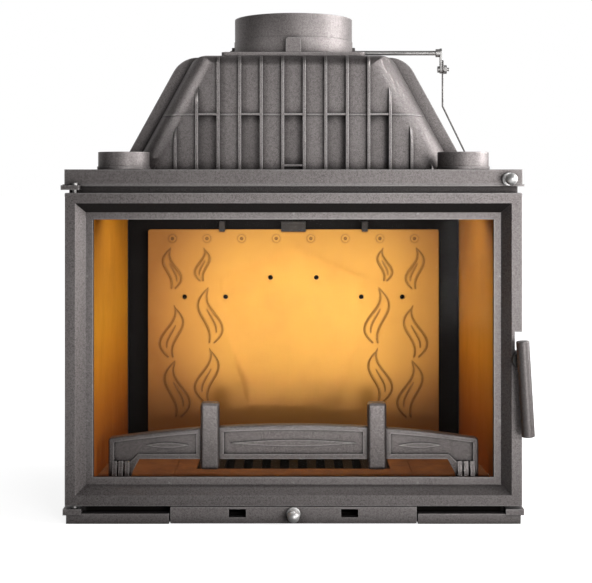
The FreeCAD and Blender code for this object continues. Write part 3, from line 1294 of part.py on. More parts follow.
save("left_side_lining", side_lining(-1))
save("right_side_lining", side_lining(1))
save("back_lining", back_lining())
save("back_lining_hooks", back_hooks())
save("back_lining_feet", back_feet())
save("left_hearth_plate", hearth_plate(-1))
save("right_hearth_plate", hearth_plate(1))
save("grate_frame", grate_frame())
save("fire_bars", fire_bars())
save("ash_pan", ash_pan())
save("hearth_guard", hearth_guard())
save("baffle", baffle())
save("baffle_rests", baffle_rests())
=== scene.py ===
import bpy
import bmesh
import math
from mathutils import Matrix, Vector


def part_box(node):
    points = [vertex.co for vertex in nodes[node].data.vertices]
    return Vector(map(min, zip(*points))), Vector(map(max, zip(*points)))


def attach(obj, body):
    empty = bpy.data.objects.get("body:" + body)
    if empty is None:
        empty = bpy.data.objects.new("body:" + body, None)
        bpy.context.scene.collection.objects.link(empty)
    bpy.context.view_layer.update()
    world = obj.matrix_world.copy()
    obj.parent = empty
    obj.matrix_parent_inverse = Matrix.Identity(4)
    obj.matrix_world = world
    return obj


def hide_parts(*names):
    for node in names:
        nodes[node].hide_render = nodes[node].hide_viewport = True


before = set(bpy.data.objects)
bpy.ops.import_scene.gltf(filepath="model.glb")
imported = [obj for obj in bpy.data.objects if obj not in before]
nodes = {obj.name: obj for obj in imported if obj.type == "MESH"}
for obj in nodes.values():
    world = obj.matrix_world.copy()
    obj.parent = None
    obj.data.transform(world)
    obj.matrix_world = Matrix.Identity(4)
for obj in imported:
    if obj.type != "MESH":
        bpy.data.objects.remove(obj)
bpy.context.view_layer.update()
scene = bpy.context.scene
print("frame loaded:", len(nodes), "nodes")


# a socket that does sums, and the sheet that makes its nodes

class Sock:
    def __init__(self, sheet, socket):
        self.sheet = sheet
        self.socket = socket

    def math(self, kind, first, second):
        return self.sheet.add("ShaderNodeMath", {"operation": kind}, {0: first, 1: second})

    def __add__(self, other):
        return self.math("ADD", self, other)

    def __sub__(self, other):
        return self.math("SUBTRACT", self, other)

    def __rsub__(self, other):
        return self.math("SUBTRACT", other, self)

    def __mul__(self, other):
        return self.math("MULTIPLY", self, other)

    def __truediv__(self, other):
        return self.math("DIVIDE", self, other)

    def __rtruediv__(self, other):
        return self.math("DIVIDE", other, self)

    def __pow__(self, other):
        return self.math("POWER", self, other)

    def __neg__(self):
        return self.math("MULTIPLY", self, -1.0)

    __radd__ = __add__
    __rmul__ = __mul__


class Sheet:
    def __init__(self, owner):
        owner.use_nodes = True
        self.owner = owner
        self.tree = owner.node_tree
        self.tree.nodes.clear()

    def add(self, kind, settings=None, sockets=None, out=0):
        node = self.tree.nodes.new(kind)
        for key, value in (settings or {}).items():
            if key == "stops":
                self.fillRamp(node.color_ramp, value)
            else:
                setattr(node, key, value)
        for key, value in (sockets or {}).items():
            if isinstance(value, Sock):
                self.tree.links.new(value.socket, node.inputs[key])
            else:
                node.inputs[key].default_value = value
        return Sock(self, node.outputs[out]) if len(node.outputs) else None

    def fillRamp(self, ramp, stops):
        while len(ramp.elements) > 1:
            ramp.elements.remove(ramp.elements[-1])
        for index, (place, colour) in enumerate(stops):
            stop = ramp.elements[0] if index == 0 else ramp.elements.new(place)
            stop.position = place
            stop.color = (*colour, 1.0)

    def place(self):
        return self.add("ShaderNodeNewGeometry", out="Position")

    def split(self, vector):
        parts = self.add("ShaderNodeSeparateXYZ", None, {0: vector}).socket.node.outputs
        return [Sock(self, part) for part in parts]

    def axes(self):
        return self.split(self.place())

    def rays(self):
        outputs = self.add("ShaderNodeLightPath").socket.node.outputs
        return {part.name: Sock(self, part) for part in outputs}

    def noise(self, scale, detail=3.0, rough=0.55, stretch=(1, 1, 1)):
        spot = self.add("ShaderNodeVectorMath", {"operation": "MULTIPLY"}, {0: self.place(), 1: stretch})
        return self.add("ShaderNodeTexNoise", {"noise_dimensions": "3D"},
                        {"Vector": spot, "Scale": scale, "Detail": detail, "Roughness": rough})

    def ramp(self, value, stops):
        return self.add("ShaderNodeValToRGB", {"stops": stops}, {0: value})

    def span(self, value, low, high, first=0.0, last=1.0):
        return self.add("ShaderNodeMapRange", {"clamp": True, "interpolation_type": "SMOOTHSTEP"},
                        {0: value, 1: low, 2: high, 3: first, 4: last})

    def blend(self, share, first, second):
        return self.add("ShaderNodeMix", {"data_type": "RGBA", "blend_type": "MIX"},
                        {0: share, 6: colour4(first), 7: colour4(second)}, 2)

    def absolute(self, value):
        return self.add("ShaderNodeMath", {"operation": "ABSOLUTE"}, {0: value})

    def recess(self, reach, inside=False):
        # 1 deep in a corner, 0 on an open face; inside=True finds the outer edges instead
        shade = self.add("ShaderNodeAmbientOcclusion",
                         {"samples": 5, "inside": inside, "only_local": inside}, {"Distance": reach}, "AO")
        return 1.0 - shade

    def relief(self, height, depth, strength=1.0, edge=0.0):
        sockets = {"Height": height, "Distance": depth, "Strength": strength}
        if edge:
            sockets["Normal"] = self.add("ShaderNodeBevel", {"samples": 6}, {"Radius": edge})
        return self.add("ShaderNodeBump", None, sockets)

    def close(self, sockets):
        shader = self.add("ShaderNodeBsdfPrincipled", None, sockets)
        self.add("ShaderNodeOutputMaterial", None, {"Surface": shader})
        return self.owner


def colour4(value):
    return value if isinstance(value, Sock) else (*value[:3], 1.0)


def shaded(colour, share):
    return [share * part for part in colour]


def newSheet(name):
    return Sheet(bpy.data.materials.new(name))


# cast iron in graphite paint; metres where a size is meant
castSpec = {
    "base": (0.205, 0.186, 0.183), "dark": (0.105, 0.092, 0.090), "flake": (0.400, 0.380, 0.375),
    "cloud": (0.23, 0.215, 0.21), "sootAndShade": (0.016, 0.013, 0.012),
    "metal": 0.80, "rough": 0.47, "edge": 0.0011,
    "grainScale": (820, 340), "flakeScale": 620, "cloudScale": 9, "lumpScale": 260,
    "flakeShare": 0.26, "cloudShare": 0.16,
    "edgeMaskReach": 0.0030, "edgeWearAndHighlight": 0.62,  # bare metal worn on outer edges, and a painted highlight along them
    "corner": 0.024, "cornerShadeShare": 0.85,  # painted shade darkening corners and recesses
    "bumpDepth": 0.00040, "bump": 0.60,
}


def castPaint(name, spec, sootAndShade=None):
    sheet = newSheet(name)
    fine, coarse = spec["grainScale"]
    grain = 0.62 * sheet.noise(fine, 2.0, 0.6) + 0.38 * sheet.noise(coarse, 2.0, 0.6)
    flakes = sheet.span(sheet.noise(spec["flakeScale"], 1.0, 0.5), 0.60, 0.74)
    cloud = sheet.noise(spec["cloudScale"], 3.0, 0.6)
    colour = sheet.blend(sheet.span(grain, 0.36, 0.60), spec["dark"], spec["base"])
    colour = sheet.blend(flakes * spec["flakeShare"], colour, spec["flake"])
    colour = sheet.blend(sheet.span(cloud, 0.35, 0.7, 0.0, spec["cloudShare"]), colour, spec["cloud"])
    # outer edges lightened: bare-metal wear and a painted edge highlight
    outer = sheet.recess(spec["edgeMaskReach"], True) + 0.20 * (grain - 0.5)
    colour = sheet.blend(sheet.span(outer, 0.13, 0.50, 0.0, spec["edgeWearAndHighlight"]), colour, spec["flake"])
    # painted shade: the paint is darkened in corners and recesses
    cornerShadeMask = sheet.span(sheet.recess(spec["corner"]), 0.12, 0.62, 0.0, spec["cornerShadeShare"])
    colour = sheet.blend(cornerShadeMask, colour, shaded(spec["dark"], 0.25))
    rough = spec["rough"] + 0.16 * (grain - 0.5) + 0.10 * (cloud - 0.5) + 0.15 * cornerShadeMask
    # this mask darkens with soot on the rear wall, soot and painted shade on the front frame, painted shade on the
    # door's downward slopes
    if sootAndShade:
        mask = sootAndShade(sheet)
        colour = sheet.blend(mask, colour, spec["sootAndShade"])
        rough = rough + mask * 0.35
    lumps = grain + 0.5 * sheet.noise(spec["lumpScale"], 2.0, 0.5)
    bump = sheet.relief(lumps, spec["bumpDepth"], spec["bump"], spec["edge"])
    return sheet.close({"Base Color": colour, "Metallic": spec["metal"], "Roughness": rough, "Normal": bump})


# where soot and painted shade lie: two ends of a soft edge, from clean to fully darkened
sootAndShadeSpec = {"rearDepth": (0.1545, 0.1500), "frameSide": (0.325, 0.318), "frameTop": (0.506, 0.499),
            "doorShadeSlope": (-0.25, -0.60), "doorShadeShare": 0.86}


def rearSoot(sheet):
    # the rear wall's inner face
    depth = sheet.axes()[1]
    return sheet.span(depth, *sootAndShadeSpec["rearDepth"])


def frameSootAndShade(sheet):
    # the frame's inner part, which the door covers: soot, and painted shade behind the door
    across, _, height = sheet.axes()
    return sheet.span(sheet.absolute(across), *sootAndShadeSpec["frameSide"]) * sheet.span(height, *sootAndShadeSpec["frameTop"])


def doorUndersideShade(sheet):
    # painted shade on the door's slopes that look down
    facing = sheet.split(sheet.add("ShaderNodeNewGeometry", out="Normal"))[2]
    return sheet.span(facing, *sootAndShadeSpec["doorShadeSlope"], 0.0, sootAndShadeSpec["doorShadeShare"])


gripSpec = dict(castSpec, base=(0.170, 0.154, 0.151), flake=(0.340, 0.322, 0.318), rough=0.43)
# a lighter copy of the graphite paint: painted light on the rails, air cover, flue collar and spigots
litCopySpec = dict(castSpec, base=(0.290, 0.264, 0.260), dark=(0.160, 0.142, 0.139), rough=0.55)
# a darker copy of the graphite paint for the guard: painted shade, with lighter edges and stronger painted corner
# shade
guardSpec = dict(castSpec, base=(0.165, 0.146, 0.142), dark=(0.080, 0.068, 0.066), flake=(0.440, 0.415, 0.405),
                 rough=0.42, corner=0.009, cornerShadeShare=1.0)
spindleSpec = dict(castSpec, base=(0.022, 0.020, 0.019), dark=(0.012, 0.011, 0.010), flake=(0.050, 0.047, 0.045),
                   metal=0.3, rough=0.6)

# soot on bare iron, from deep black to ash grey
ironSpec = {"tones": [(0.30, (0.018, 0.015, 0.013)), (0.55, (0.040, 0.033, 0.028)), (0.78, (0.105, 0.086, 0.070))],
            "ashScale": 38, "grainScale": 700, "metal": 0.25, "shine": 0.4, "rough": 0.66, "edge": 0.0008}


def sootIron(name, ashy, spec):
    sheet = newSheet(name)
    ash = sheet.noise(spec["ashScale"], 5.0, 0.65)
    grain = sheet.noise(spec["grainScale"], 2.0, 0.6)
    colour = sheet.ramp(ash, [(place, shaded(tone, ashy)) for place, tone in spec["tones"]])
    return sheet.close({"Base Color": colour, "Metallic": spec["metal"] * ashy,
                        "Roughness": spec["rough"] + 0.3 * (ash - 0.5),
                        "Specular IOR Level": spec["shine"] * ashy,
                        "Normal": sheet.relief(grain + ash, 0.0004, 0.6, spec["edge"])})


# side plates painted gold with the fire's light, a painted glow that is darker towards the hearth
sideSpec = {"heights": (0.058, 0.455),
            "tones": [(0.00, (0.300, 0.075, 0.012)), (0.14, (0.520, 0.165, 0.016)), (0.42, (0.740, 0.292, 0.018)),
                      (0.68, (0.720, 0.318, 0.020)), (1.00, (0.560, 0.222, 0.016))],
            "mist": (0.330, 0.120, 0.020), "streak": (0.760, 0.360, 0.060), "mistScale": 14, "streakScale": 120,
            "grainScale": 520, "metal": 0.15, "rough": 0.50, "shine": 0.15, "edge": 0.0008}


def firelitSide(spec):
    sheet = newSheet("firelit_gold_side_lining")
    tone = sheet.ramp(sheet.span(sheet.axes()[2], *spec["heights"]), spec["tones"])
    mist = sheet.noise(spec["mistScale"], 4.0, 0.6, (1, 1, 0.4))
    streak = sheet.noise(spec["streakScale"], 3.0, 0.6, (1, 1, 0.12))
    colour = sheet.blend(sheet.span(mist, 0.4, 0.75, 0.0, 0.30), tone, spec["mist"])
    colour = sheet.blend(sheet.span(streak, 0.5, 0.75, 0.0, 0.16), colour, spec["streak"])
    bump = sheet.relief(sheet.noise(spec["grainScale"], 3.0, 0.6) + streak, 0.0003, 0.4, spec["edge"])
    return sheet.close({"Base Color": colour, "Metallic": spec["metal"],
                        "Roughness": spec["rough"] + 0.2 * (mist - 0.5),
                        "Specular IOR Level": spec["shine"], "Normal": bump})


# back plate painted gold with the fire's light, a painted pool of firelight brightest round one spot, and darker at
# its foot
backSpec = {"spot": (0.035, 0.290), "reach": (0.30, 0.26),
            "tones": [(0.00, (0.640, 0.320, 0.052)), (0.35, (0.590, 0.288, 0.048)),
                      (0.75, (0.450, 0.200, 0.038)), (1.00, (0.330, 0.135, 0.027))],
            "mist": (0.460, 0.210, 0.045), "foot": (0.120, 0.045, 0.016), "smoke": (0.080, 0.034, 0.012),
            "footHeights": (0.200, 0.085), "footShare": 0.55, "smokeReach": 0.005, "smokeShare": 0.75,
            "mistScale": 11, "grainScale": 520, "metal": 0.12, "rough": 0.52, "shine": 0.15, "edge": 0.0010}


def firelitBack(name, spec, shade=0.0):
    # shade paints shade over all of it, and without it painted shade darkens only the hollows
    sheet = newSheet(name)
    across, _, height = sheet.axes()
    aside = (across - spec["spot"][0]) / spec["reach"][0]
    above = (height - spec["spot"][1]) / spec["reach"][1]
    tone = sheet.ramp(aside ** 2.0 + above ** 2.0, spec["tones"])
    mist = sheet.noise(spec["mistScale"], 4.0, 0.6)
    colour = sheet.blend(sheet.span(mist, 0.42, 0.75, 0.0, 0.28), tone, spec["mist"])
    colour = sheet.blend(sheet.span(height, *spec["footHeights"], 0.0, spec["footShare"]), colour, spec["foot"])
    if shade:
        smoke = sheet.span(mist, 0.2, 0.7, shade, 0.7 * shade)
    else:
        smoke = sheet.span(sheet.recess(spec["smokeReach"]), 0.10, 0.50, 0.0, spec["smokeShare"])
    colour = sheet.blend(smoke, colour, spec["smoke"])
    bump = sheet.relief(sheet.noise(spec["grainScale"], 3.0, 0.6) + mist, 0.0003, 0.4, spec["edge"])
    return sheet.close({"Base Color": colour, "Metallic": spec["metal"],
                        "Roughness": spec["rough"] + 0.2 * (mist - 0.5),
                        "Specular IOR Level": spec["shine"], "Normal": bump})


# rusty hearth, a little paler towards the sides
hearthSpec = {"tones": [(0.28, (0.105, 0.032, 0.008)), (0.52, (0.200, 0.066, 0.014)), (0.80, (0.300, 0.122, 0.032))],
              "side": (0.260, 0.100, 0.024), "sideFrom": (0.185, 0.300), "sideShare": 0.55,
              "ashScale": 46, "grainScale": 600, "metal": 0.05, "rough": 0.72, "edge": 0.0008}


def hearthTan(spec):
    sheet = newSheet("rust_tan_hearth")
    ash = sheet.noise(spec["ashScale"], 5.0, 0.65)
    far = sheet.span(sheet.absolute(sheet.axes()[0]), *spec["sideFrom"])
    colour = sheet.blend(far * spec["sideShare"], sheet.ramp(ash, spec["tones"]), spec["side"])
    bump = sheet.relief(ash + sheet.noise(spec["grainScale"], 2.0, 0.6), 0.0005, 0.6, spec["edge"])
    return sheet.close({"Base Color": colour, "Metallic": spec["metal"],
                        "Roughness": spec["rough"] + 0.2 * (ash - 0.5), "Normal": bump})


zincSpec = {"base": (0.46, 0.45, 0.44), "rough": 0.50, "metal": 0.92, "edge": 0.0004}
darkSteelSpec = dict(zincSpec, base=(0.20, 0.19, 0.185), rough=0.46)


def drawnSteel(name, spec):
    sheet = newSheet(name)
    fog = sheet.noise(60, 3.0, 0.6)
    colour = sheet.blend(sheet.span(fog, 0.35, 0.75), spec["base"], shaded(spec["base"], 0.62))
    bump = sheet.relief(sheet.noise(400, 2.0, 0.5), 0.0001, 0.35, spec["edge"])
    return sheet.close({"Base Color": colour, "Metallic": spec["metal"],
                        "Roughness": spec["rough"] + 0.18 * (fog - 0.5), "Normal": bump})


knobSpec = {"bright": (0.74, 0.73, 0.72), "dull": (0.60, 0.59, 0.58), "metal": 0.70, "rough": 0.40, "edge": 0.0003}


def chromeKnob(spec):
    sheet = newSheet("polished_knob")
    smear = sheet.noise(90, 3.0, 0.55)
    colour = sheet.blend(sheet.span(smear, 0.4, 0.8), spec["bright"], spec["dull"])
    return sheet.close({"Base Color": colour, "Metallic": spec["metal"], "Roughness": spec["rough"] + 0.08 * smear,
                        "Normal": sheet.relief(smear, 0.00001, 0.1, spec["edge"])})


paneSpec = {"tint": (0.012, 0.010, 0.008, 1.0), "film": (0.045, 0.085), "filmScale": 7, "rough": 0.03, "shine": 0.2}


def clearPane(spec):
    sheet = newSheet("clear_ceramic_glass")
    film = sheet.noise(spec["filmScale"], 4.0, 0.6)
    return sheet.close({"Base Color": spec["tint"], "Roughness": spec["rough"] + 0.05 * film,
                        "Alpha": sheet.span(film, 0.35, 0.8, *spec["film"]), "Specular IOR Level": spec["shine"]})


ropeSpec = {"light": (0.52, 0.50, 0.46), "dark": (0.17, 0.16, 0.15), "tint": (0.20, 0.18, 0.16), "scale": 900,
            "rough": 0.82}
wovenSpec = dict(ropeSpec, light=(0.36, 0.35, 0.33), dark=(0.10, 0.10, 0.095), scale=1400)


def ropeFibre(name, spec):
    sheet = newSheet(name)
    fibre = sheet.noise(spec["scale"], 3.0, 0.7, (1, 0.35, 1))
    tint = sheet.noise(30, 3.0, 0.6)
    colour = sheet.blend(sheet.span(fibre, 0.35, 0.7), spec["dark"], spec["light"])
    colour = sheet.blend(sheet.span(tint, 0.5, 0.8, 0.0, 0.3), colour, spec["tint"])
    return sheet.close({"Base Color": colour, "Metallic": 0.0, "Roughness": spec["rough"] + 0.2 * (fibre - 0.5),
                        "Normal": sheet.relief(fibre, 0.0004, 0.8)})


finishes = {
    castPaint("graphite_cast_paint", castSpec): [
        "hood_rear", "top_plate", "base_tray", "left_side_wall", "right_side_wall", "upper_ledge", "handle_bearing",
        "hood_bolts", "flue_collar_screws"],
    castPaint("graphite_door_paint", castSpec, doorUndersideShade): ["door_frame"],
    castPaint("graphite_hood_paint", dict(castSpec, corner=0.016)): ["hood_front"],
    castPaint("graphite_paint_lit_copy", litCopySpec): [
        "left_lower_rail", "right_lower_rail", "air_cover", "flue_collar", "left_air_spigot", "right_air_spigot"],
    castPaint("graphite_frame_paint", castSpec, frameSootAndShade): ["front_frame"],
    castPaint("graphite_cast_paint_sooted", castSpec, rearSoot): ["rear_wall"],
    castPaint("graphite_grip_paint", gripSpec): ["handle_grip"],
    castPaint("smoked_guard_paint", guardSpec): ["hearth_guard"],
    castPaint("black_spindle_paint", spindleSpec): ["handle_spindle"],
    sootIron("sooted_iron", 1.0, ironSpec): [
        "baffle", "baffle_rests", "ash_pan", "air_shelf", "back_lining_hooks", "back_lining_feet"],
    sootIron("charred_grate", 0.22, ironSpec): ["fire_bars"],
    firelitSide(sideSpec): ["left_side_lining", "right_side_lining"],
    firelitBack("firelit_gold_back_lining", backSpec): ["back_lining"],
    hearthTan(hearthSpec): ["left_hearth_plate", "right_hearth_plate", "grate_frame"],
    drawnSteel("zinc_steel", zincSpec): [
        "damper_shaft", "damper_crank", "crank_bolt", "air_rod", "hinge_pins", "hinge_spacer"],
    drawnSteel("dark_steel", darkSteelSpec): [
        "damper_wire", "damper_blade", "damper_pins", "air_shutter", "frame_bolts", "glass_clips",
        "glass_clip_screws", "handle_bearing_screws", "handle_screw", "latch_keeper", "latch_finger", "spindle_nut"],
    chromeKnob(knobSpec): ["damper_knob", "air_knob", "damper_bush", "air_bush"],
    clearPane(paneSpec): ["door_glass"],
}


def dress(piece, finish):
    if not piece.material_slots:
        piece.data.materials.append(finish)
    for place in piece.material_slots:
        place.link = "OBJECT"
        place.material = finish


for finish, names in finishes.items():
    for name in names:
        dress(nodes[name], finish)
print("finishes on", sum(len(names) for names in finishes.values()), "nodes")


# pieces made here

def newPiece(name, points, faces, finish, body, slotName):
    mesh = bpy.data.meshes.new(name)
    mesh.from_pydata(points, [], faces)
    mesh.validate()
    shape = bmesh.new()
    shape.from_mesh(mesh)
    bmesh.ops.recalc_face_normals(shape, faces=shape.faces)
    for face in shape.faces:
        face.smooth = True
    shape.to_mesh(mesh)
    shape.free()
    mesh.materials.append(finish)
    piece = bpy.data.objects.new(name, mesh)
    scene.collection.objects.link(piece)
    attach(piece, body)
    return piece


# braided rope round the back of the door; lay is the length of one turn
sealSpec = {"radius": 0.0036, "inset": 0.0037, "corner": 0.018, "cornerSteps": 18, "step": 0.0016, "sides": 16,
            "strands": 4, "lay": 0.011, "depth": 0.09}


def sealPath(box, spec):
    # closed rounded rectangle through the middle of the seal's box
    low, high = [Vector(corner) for corner in box]
    inset, radius = spec["inset"], spec["corner"]
    left, right = low.x + inset + radius, high.x - inset - radius
    bottom, top = low.z + inset + radius, high.z - inset - radius
    depth = (low.y + high.y) / 2
    points = []
    for x, z, start in [(right, top, 0), (left, top, 90), (left, bottom, 180), (right, bottom, 270)]:
        for k in range(spec["cornerSteps"] + 1):
            turn = math.radians(start + 90 * k / spec["cornerSteps"])
            points.append(Vector((x + radius * math.cos(turn), depth, z + radius * math.sin(turn))))
    return points


def evenPath(points, step):
    closed = points + [points[0]]
    lengths = [(b - a).length for a, b in zip(closed, closed[1:])]
    total = sum(lengths)
    count = int(total / step)
    spots, index, walked = [], 0, 0.0
    for k in range(count):
        goal = total * k / count
        while walked + lengths[index] < goal:
            walked += lengths[index]
            index += 1
        share = (goal - walked) / lengths[index]
        spots.append((closed[index].lerp(closed[index + 1], share), goal))
    return spots, total


def braidedSeal(spec):
    spots, total = evenPath(sealPath(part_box("door_rope_seal"), spec), spec["step"])
    turns = round(total / spec["lay"])
    points, faces = [], []
    count, sides = len(spots), spec["sides"]
    for k, (spot, walked) in enumerate(spots):
        along = (spots[(k + 1) % count][0] - spots[k - 1][0]).normalized()
        out = along.cross(Vector((0, 1, 0))).normalized()
        lay = 2 * math.pi * turns * walked / total
        for s in range(sides):
            turn = 2 * math.pi * s / sides
            strand = spec["strands"] * turn
            weave = math.sin(strand + lay) * math.sin(strand - lay)
            reach = spec["radius"] * (1.0 - spec["depth"] * (0.5 - 0.5 * weave))
            points.append(spot + out * (reach * math.cos(turn)) + Vector((0, reach * math.sin(turn), 0)))
    for k in range(count):
        for s in range(sides):
            a, b = k * sides, ((k + 1) % count) * sides
            faces.append((a + s, a + (s + 1) % sides, b + (s + 1) % sides, b + s))
    return points, faces


sealRope = newPiece("braided_door_seal", *braidedSeal(sealSpec), ropeFibre("glass_fibre_rope", ropeSpec),
                    "door", "rope")
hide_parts("door_rope_seal")

# flat woven tape round the edge of the glass, a little crowned across its width
tapeSpec = {"width": 0.004, "columns": 6, "crown": 0.00012, "step": 0.006}


def gasketTape(spec):
    low, high = [Vector(corner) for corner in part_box("glass_gasket")]
    front, back = low.y, high.y
    points, faces, rows = [], [], []
    corners = [(low.x, low.z, 1, 1), (high.x, low.z, -1, 1), (high.x, high.z, -1, -1), (low.x, high.z, 1, -1)]
    for k, (x, z, dx, dz) in enumerate(corners):
        nextX, nextZ, nextDx, nextDz = corners[(k + 1) % 4]
        count = int(math.hypot(nextX - x, nextZ - z) / spec["step"])
        for j in range(count):
            share = j / count
            row = []
            for face in (0, 1):  # front, then back
                for c in range(spec["columns"] + 1):
                    across = c / spec["columns"]
                    inset = spec["width"] * across
                    ax, az = x + dx * inset, z + dz * inset
                    bx, bz = nextX + nextDx * inset, nextZ + nextDz * inset
                    crown = spec["crown"] * (1 - math.sin(math.pi * across))
                    depth = front + crown if face == 0 else back - crown
                    row.append(len(points))
                    points.append((ax + (bx - ax) * share, depth, az + (bz - az) * share))
            rows.append(row)
    width = spec["columns"] + 1
    ringOrder = list(range(width)) + [width + c for c in reversed(range(width))]
    for k, row in enumerate(rows):
        following = rows[(k + 1) % len(rows)]
        for s, a in enumerate(ringOrder):
            b = ringOrder[(s + 1) % len(ringOrder)]
            faces.append((row[a], row[b], following[b], following[a]))
    return points, faces


gasket = newPiece("woven_glass_gasket", *gasketTape(tapeSpec), ropeFibre("woven_gasket_tape", wovenSpec),
                  "door", "rope")
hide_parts("glass_gasket")
print("seal and gasket made")

# low ridges on the back plate; each tongue is x, foot, height and the side it leans to
reliefSpec = {"face": 0.120, "width": 0.0042, "height": 0.0024, "sink": 0.0004, "steps": 44, "arc": 8,
              "sway": 0.13, "waves": 0.86, "phase": 0.5, "drift": 0.05, "half": 0.175, "strokeFrom": 0.16,
              "strokeTo": 0.62, "shade": 0.52,
              "tongues": [(-0.214, 0.098, 0.102, 1), (-0.152, 0.126, 0.096, -1), (-0.216, 0.206, 0.094, -1),
                          (-0.154, 0.232, 0.100, 1), (-0.222, 0.330, 0.074, 1), (-0.162, 0.344, 0.060, -1)]}


def flameTongue(x, foot, tall, lean, spec):
    # outline of one swaying tongue, its two sides meeting at the tip, and a short stroke inside it
    left, right, stroke = [], [], []
    begin, end = spec["strokeFrom"], spec["strokeTo"]
    for k in range(spec["steps"] + 1):
        rise = k / spec["steps"]
        wave = spec["sway"] * math.sin(2 * math.pi * spec["waves"] * rise + spec["phase"])
        middle = x + lean * tall * (wave + spec["drift"] * rise)
        half = spec["half"] * tall * math.sin(math.pi * (0.10 + 0.90 * rise)) ** 1.1 * (1.0 - 0.25 * rise)
        wide = spec["width"] * (0.22 + 0.78 * math.sin(math.pi * min(1.0, 0.12 + 0.88 * rise)) ** 0.6)
        left.append((middle - half, foot + tall * rise, wide))
        right.append((middle + half * 0.85, foot + tall * rise * 0.97, wide))
        if begin <= rise <= end:
            inner = (rise - begin) / (end - begin)
            wide = spec["width"] * (0.2 + 0.6 * math.sin(math.pi * inner) ** 0.6)
            stroke.append((middle + lean * 0.02 * tall * inner, foot + tall * rise, wide))
    return [left, right, stroke]


def ridgeMesh(lines, spec):
    # a half-round ridge along each line, sunk a little into the plate
    points, faces = [], []
    arc, sink = spec["arc"], spec["sink"]
    row = arc + 1
    for line in lines:
        start = len(points)
        last = len(line) - 1
        for k, (x, z, wide) in enumerate(line):
            bx, bz, _ = line[max(0, k - 1)]
            ax, az, _ = line[min(last, k + 1)]
            length = math.hypot(ax - bx, az - bz)
            nx, nz = (az - bz) / length, -(ax - bx) / length
            tall = spec["height"] * min(1.0, 0.25 + wide / spec["width"])
            for c in range(row):
                turn = math.pi * c / arc
                side = 0.5 * wide * math.cos(turn)
                depth = spec["face"] + sink - (tall + sink) * math.sin(turn)
                points.append((x + nx * side, depth, z + nz * side))
        for k in range(last):
            a, b = start + k * row, start + (k + 1) * row
            for c in range(row):
                faces.append((a + c, a + (c + 1) % row, b + (c + 1) % row, b + c))
        faces.append(tuple(start + c for c in range(row)))
        faces.append(tuple(start + last * row + c for c in reversed(range(row))))
    return points, faces


strokes = [line for tongue in reliefSpec["tongues"] for line in flameTongue(*tongue, reliefSpec)]
strokes += [[(-x, z, wide) for x, z, wide in line] for line in strokes]
# the ridges are darkened as a painted shade of grooves, over the painted firelight
newPiece("flame_relief", *ridgeMesh(strokes, reliefSpec),
         firelitBack("smoked_gold_relief", backSpec, reliefSpec["shade"]), "stove", "lining")
print("flame relief made with", len(strokes), "strokes")


# floor, light and camera

white = (1.0, 1.0, 1.0, 1.0)
stageSpec = {"sides": 30, "rear": 60, "drop": 0.0005, "floor": (0.90, 0.90, 0.90, 1.0),
             "bounce": (0.10, 0.10, 0.10, 1.0), "near": 0.82, "glowReach": (0.6, 2.0),
             "left": 0.74, "right": 1.00, "frontFrom": (0.31, 0.54), "behindFrom": (0.1, 0.9),
             "leftFrom": (-1.5, -0.7), "acrossFrom": (-0.7, 1.1)}


def paleFloor(spec):
    # white to the camera round a soft shadow; in reflections a painted shadow by the object's foot, pale in front,
    # white behind
    sheet = newSheet("pale_floor")
    rays = sheet.rays()
    x, y, _ = sheet.axes()
    reach = (x ** 2.0 + y ** 2.0) ** 0.5
    front = sheet.span(-y, *spec["frontFrom"]) * sheet.span(x, *spec["leftFrom"])
    front = front * sheet.span(x, *spec["acrossFrom"], spec["left"], spec["right"])
    shine = front + (1.0 - front) * sheet.span(y, *spec["behindFrom"])
    shine = shine * (rays["Is Glossy Ray"] + rays["Is Transmission Ray"])
    pale = sheet.add("ShaderNodeBsdfDiffuse", None, {"Color": spec["floor"]})
    grey = sheet.add("ShaderNodeBsdfDiffuse", None, {"Color": spec["bounce"]})
    bright = sheet.add("ShaderNodeEmission", None, {"Color": white, "Strength": 1.0})
    glow = sheet.add("ShaderNodeEmission", None,
                     {"Color": white, "Strength": sheet.span(reach, *spec["glowReach"], spec["near"], 1.0)})
    seen = sheet.add("ShaderNodeAddShader", None, {0: pale, 1: glow})
    shown = sheet.add("ShaderNodeMixShader", None, {0: shine, 1: grey, 2: bright})
    shown = sheet.add("ShaderNodeMixShader", None, {0: rays["Is Camera Ray"], 1: shown, 2: seen})
    sheet.add("ShaderNodeOutputMaterial", None, {"Surface": shown})
    return sheet.owner


side, rear = stageSpec["sides"], stageSpec["rear"]
floorMesh = bpy.data.meshes.new("floor")
floorMesh.from_pydata([(-side, -side, 0), (side, -side, 0), (side, rear, 0), (-side, rear, 0)], [], [(0, 1, 2, 3)])
floorMesh.materials.append(paleFloor(stageSpec))
floor = bpy.data.objects.new("floor", floorMesh)
floor.location.z = -stageSpec["drop"]
scene.collection.objects.link(floor)

skySpec = {"dim": 0.03, "right": 0.60, "front": 0.26, "above": 0.12, "rear": 0.30}


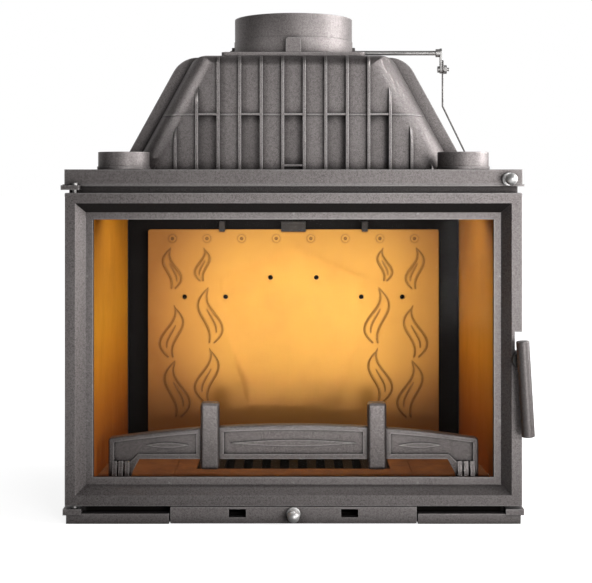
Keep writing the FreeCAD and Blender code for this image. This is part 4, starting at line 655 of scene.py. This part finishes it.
def studioSky(spec):
    # pale right wall and front, dark left; its white backdrop is seen by the camera and in reflections
    sky = bpy.data.worlds.new("studio")
    sheet = Sheet(sky)
    rays = sheet.rays()
    x, y, z = sheet.split(sheet.add("ShaderNodeTexCoord", out="Generated"))
    raised = sheet.span(z, -0.30, 0.10)
    level = spec["dim"] + spec["right"] * sheet.span(x, 0.15, 0.95) * raised
    level = level + spec["above"] * sheet.span(z, 0.45, 0.98)
    level = level + spec["front"] * sheet.span(-y, 0.35, 0.98) * raised * sheet.span(z, 0.50, 0.12)
    level = level + spec["rear"] * sheet.span(y, 0.20, 0.90) * raised
    shine = (rays["Is Glossy Ray"] + rays["Is Transmission Ray"]) * sheet.span(y, 0.25, 0.80)
    backed = shine + (1.0 - shine) * rays["Is Camera Ray"]
    strength = level + (1.0 - level) * backed
    backdrop = sheet.add("ShaderNodeBackground", None, {"Color": white, "Strength": strength})
    sheet.add("ShaderNodeOutputWorld", None, {"Surface": backdrop})
    return sky


scene.world = studioSky(skySpec)

lamps = {
    "front_soft": {"spot": (1.00, -2.60, 0.44), "aim": (0.0, 0.0, 0.40), "size": (1.0, 1.00),
                   "power": 29, "spread": 180},
    "right_soft": {"spot": (1.60, -0.22, 0.80), "aim": (0.1, -0.10, 0.58), "size": (0.9, 1.0),
                   "power": 32, "spread": 180},
    "left_key": {"spot": (-1.55, -1.40, 1.20), "aim": (-0.07, -0.12, 0.64), "size": (0.14, 0.18),
                 "power": 0.06, "spread": 7},
    "right_key": {"spot": (1.55, -1.40, 1.20), "aim": (0.07, -0.12, 0.64), "size": (0.14, 0.18),
                  "power": 0.06, "spread": 7},
    "window_soft": {"spot": (0.0, -2.60, 0.42), "aim": (0.0, 0.05, 0.262), "size": (0.46, 0.24),
                    "power": 0.34, "spread": 8},
    "firebox_soft": {"spot": (0.0, -0.115, 0.484), "aim": (0.0, 0.06, 0.20), "size": (0.50, 0.06),
                     "power": 1.10, "spread": 180},
}
for name, spec in lamps.items():
    light = bpy.data.lights.new(name, "AREA")
    light.shape = "RECTANGLE"
    light.size, light.size_y = spec["size"]
    light.energy = spec["power"]
    light.spread = math.radians(spec["spread"])
    lamp = bpy.data.objects.new(name, light)
    lamp.location = spec["spot"]
    lamp.rotation_euler = (Vector(spec["aim"]) - Vector(spec["spot"])).to_track_quat("-Z", "Y").to_euler()
    scene.collection.objects.link(lamp)
print("lamps:", len(lamps))

# focal length, centre and size are in pixels of the picture
viewSpec = {"spot": (0.0, -2.114, 0.5144), "focal": 1234.97, "centre": (293.44, 186.7), "size": (592, 583)}
wide, tall = viewSpec["size"]
lens = bpy.data.cameras.new("camera")
lens.sensor_width = 36.0
lens.sensor_fit = "HORIZONTAL"
lens.lens = viewSpec["focal"] * lens.sensor_width / wide
lens.shift_x = (wide / 2 - viewSpec["centre"][0]) / wide
lens.shift_y = (viewSpec["centre"][1] - tall / 2) / wide
camera = bpy.data.objects.new("camera", lens)
camera.location = viewSpec["spot"]
camera.rotation_euler = (math.radians(90), 0, 0)
scene.collection.objects.link(camera)
scene.camera = camera
scene.view_settings.view_transform = "Standard"
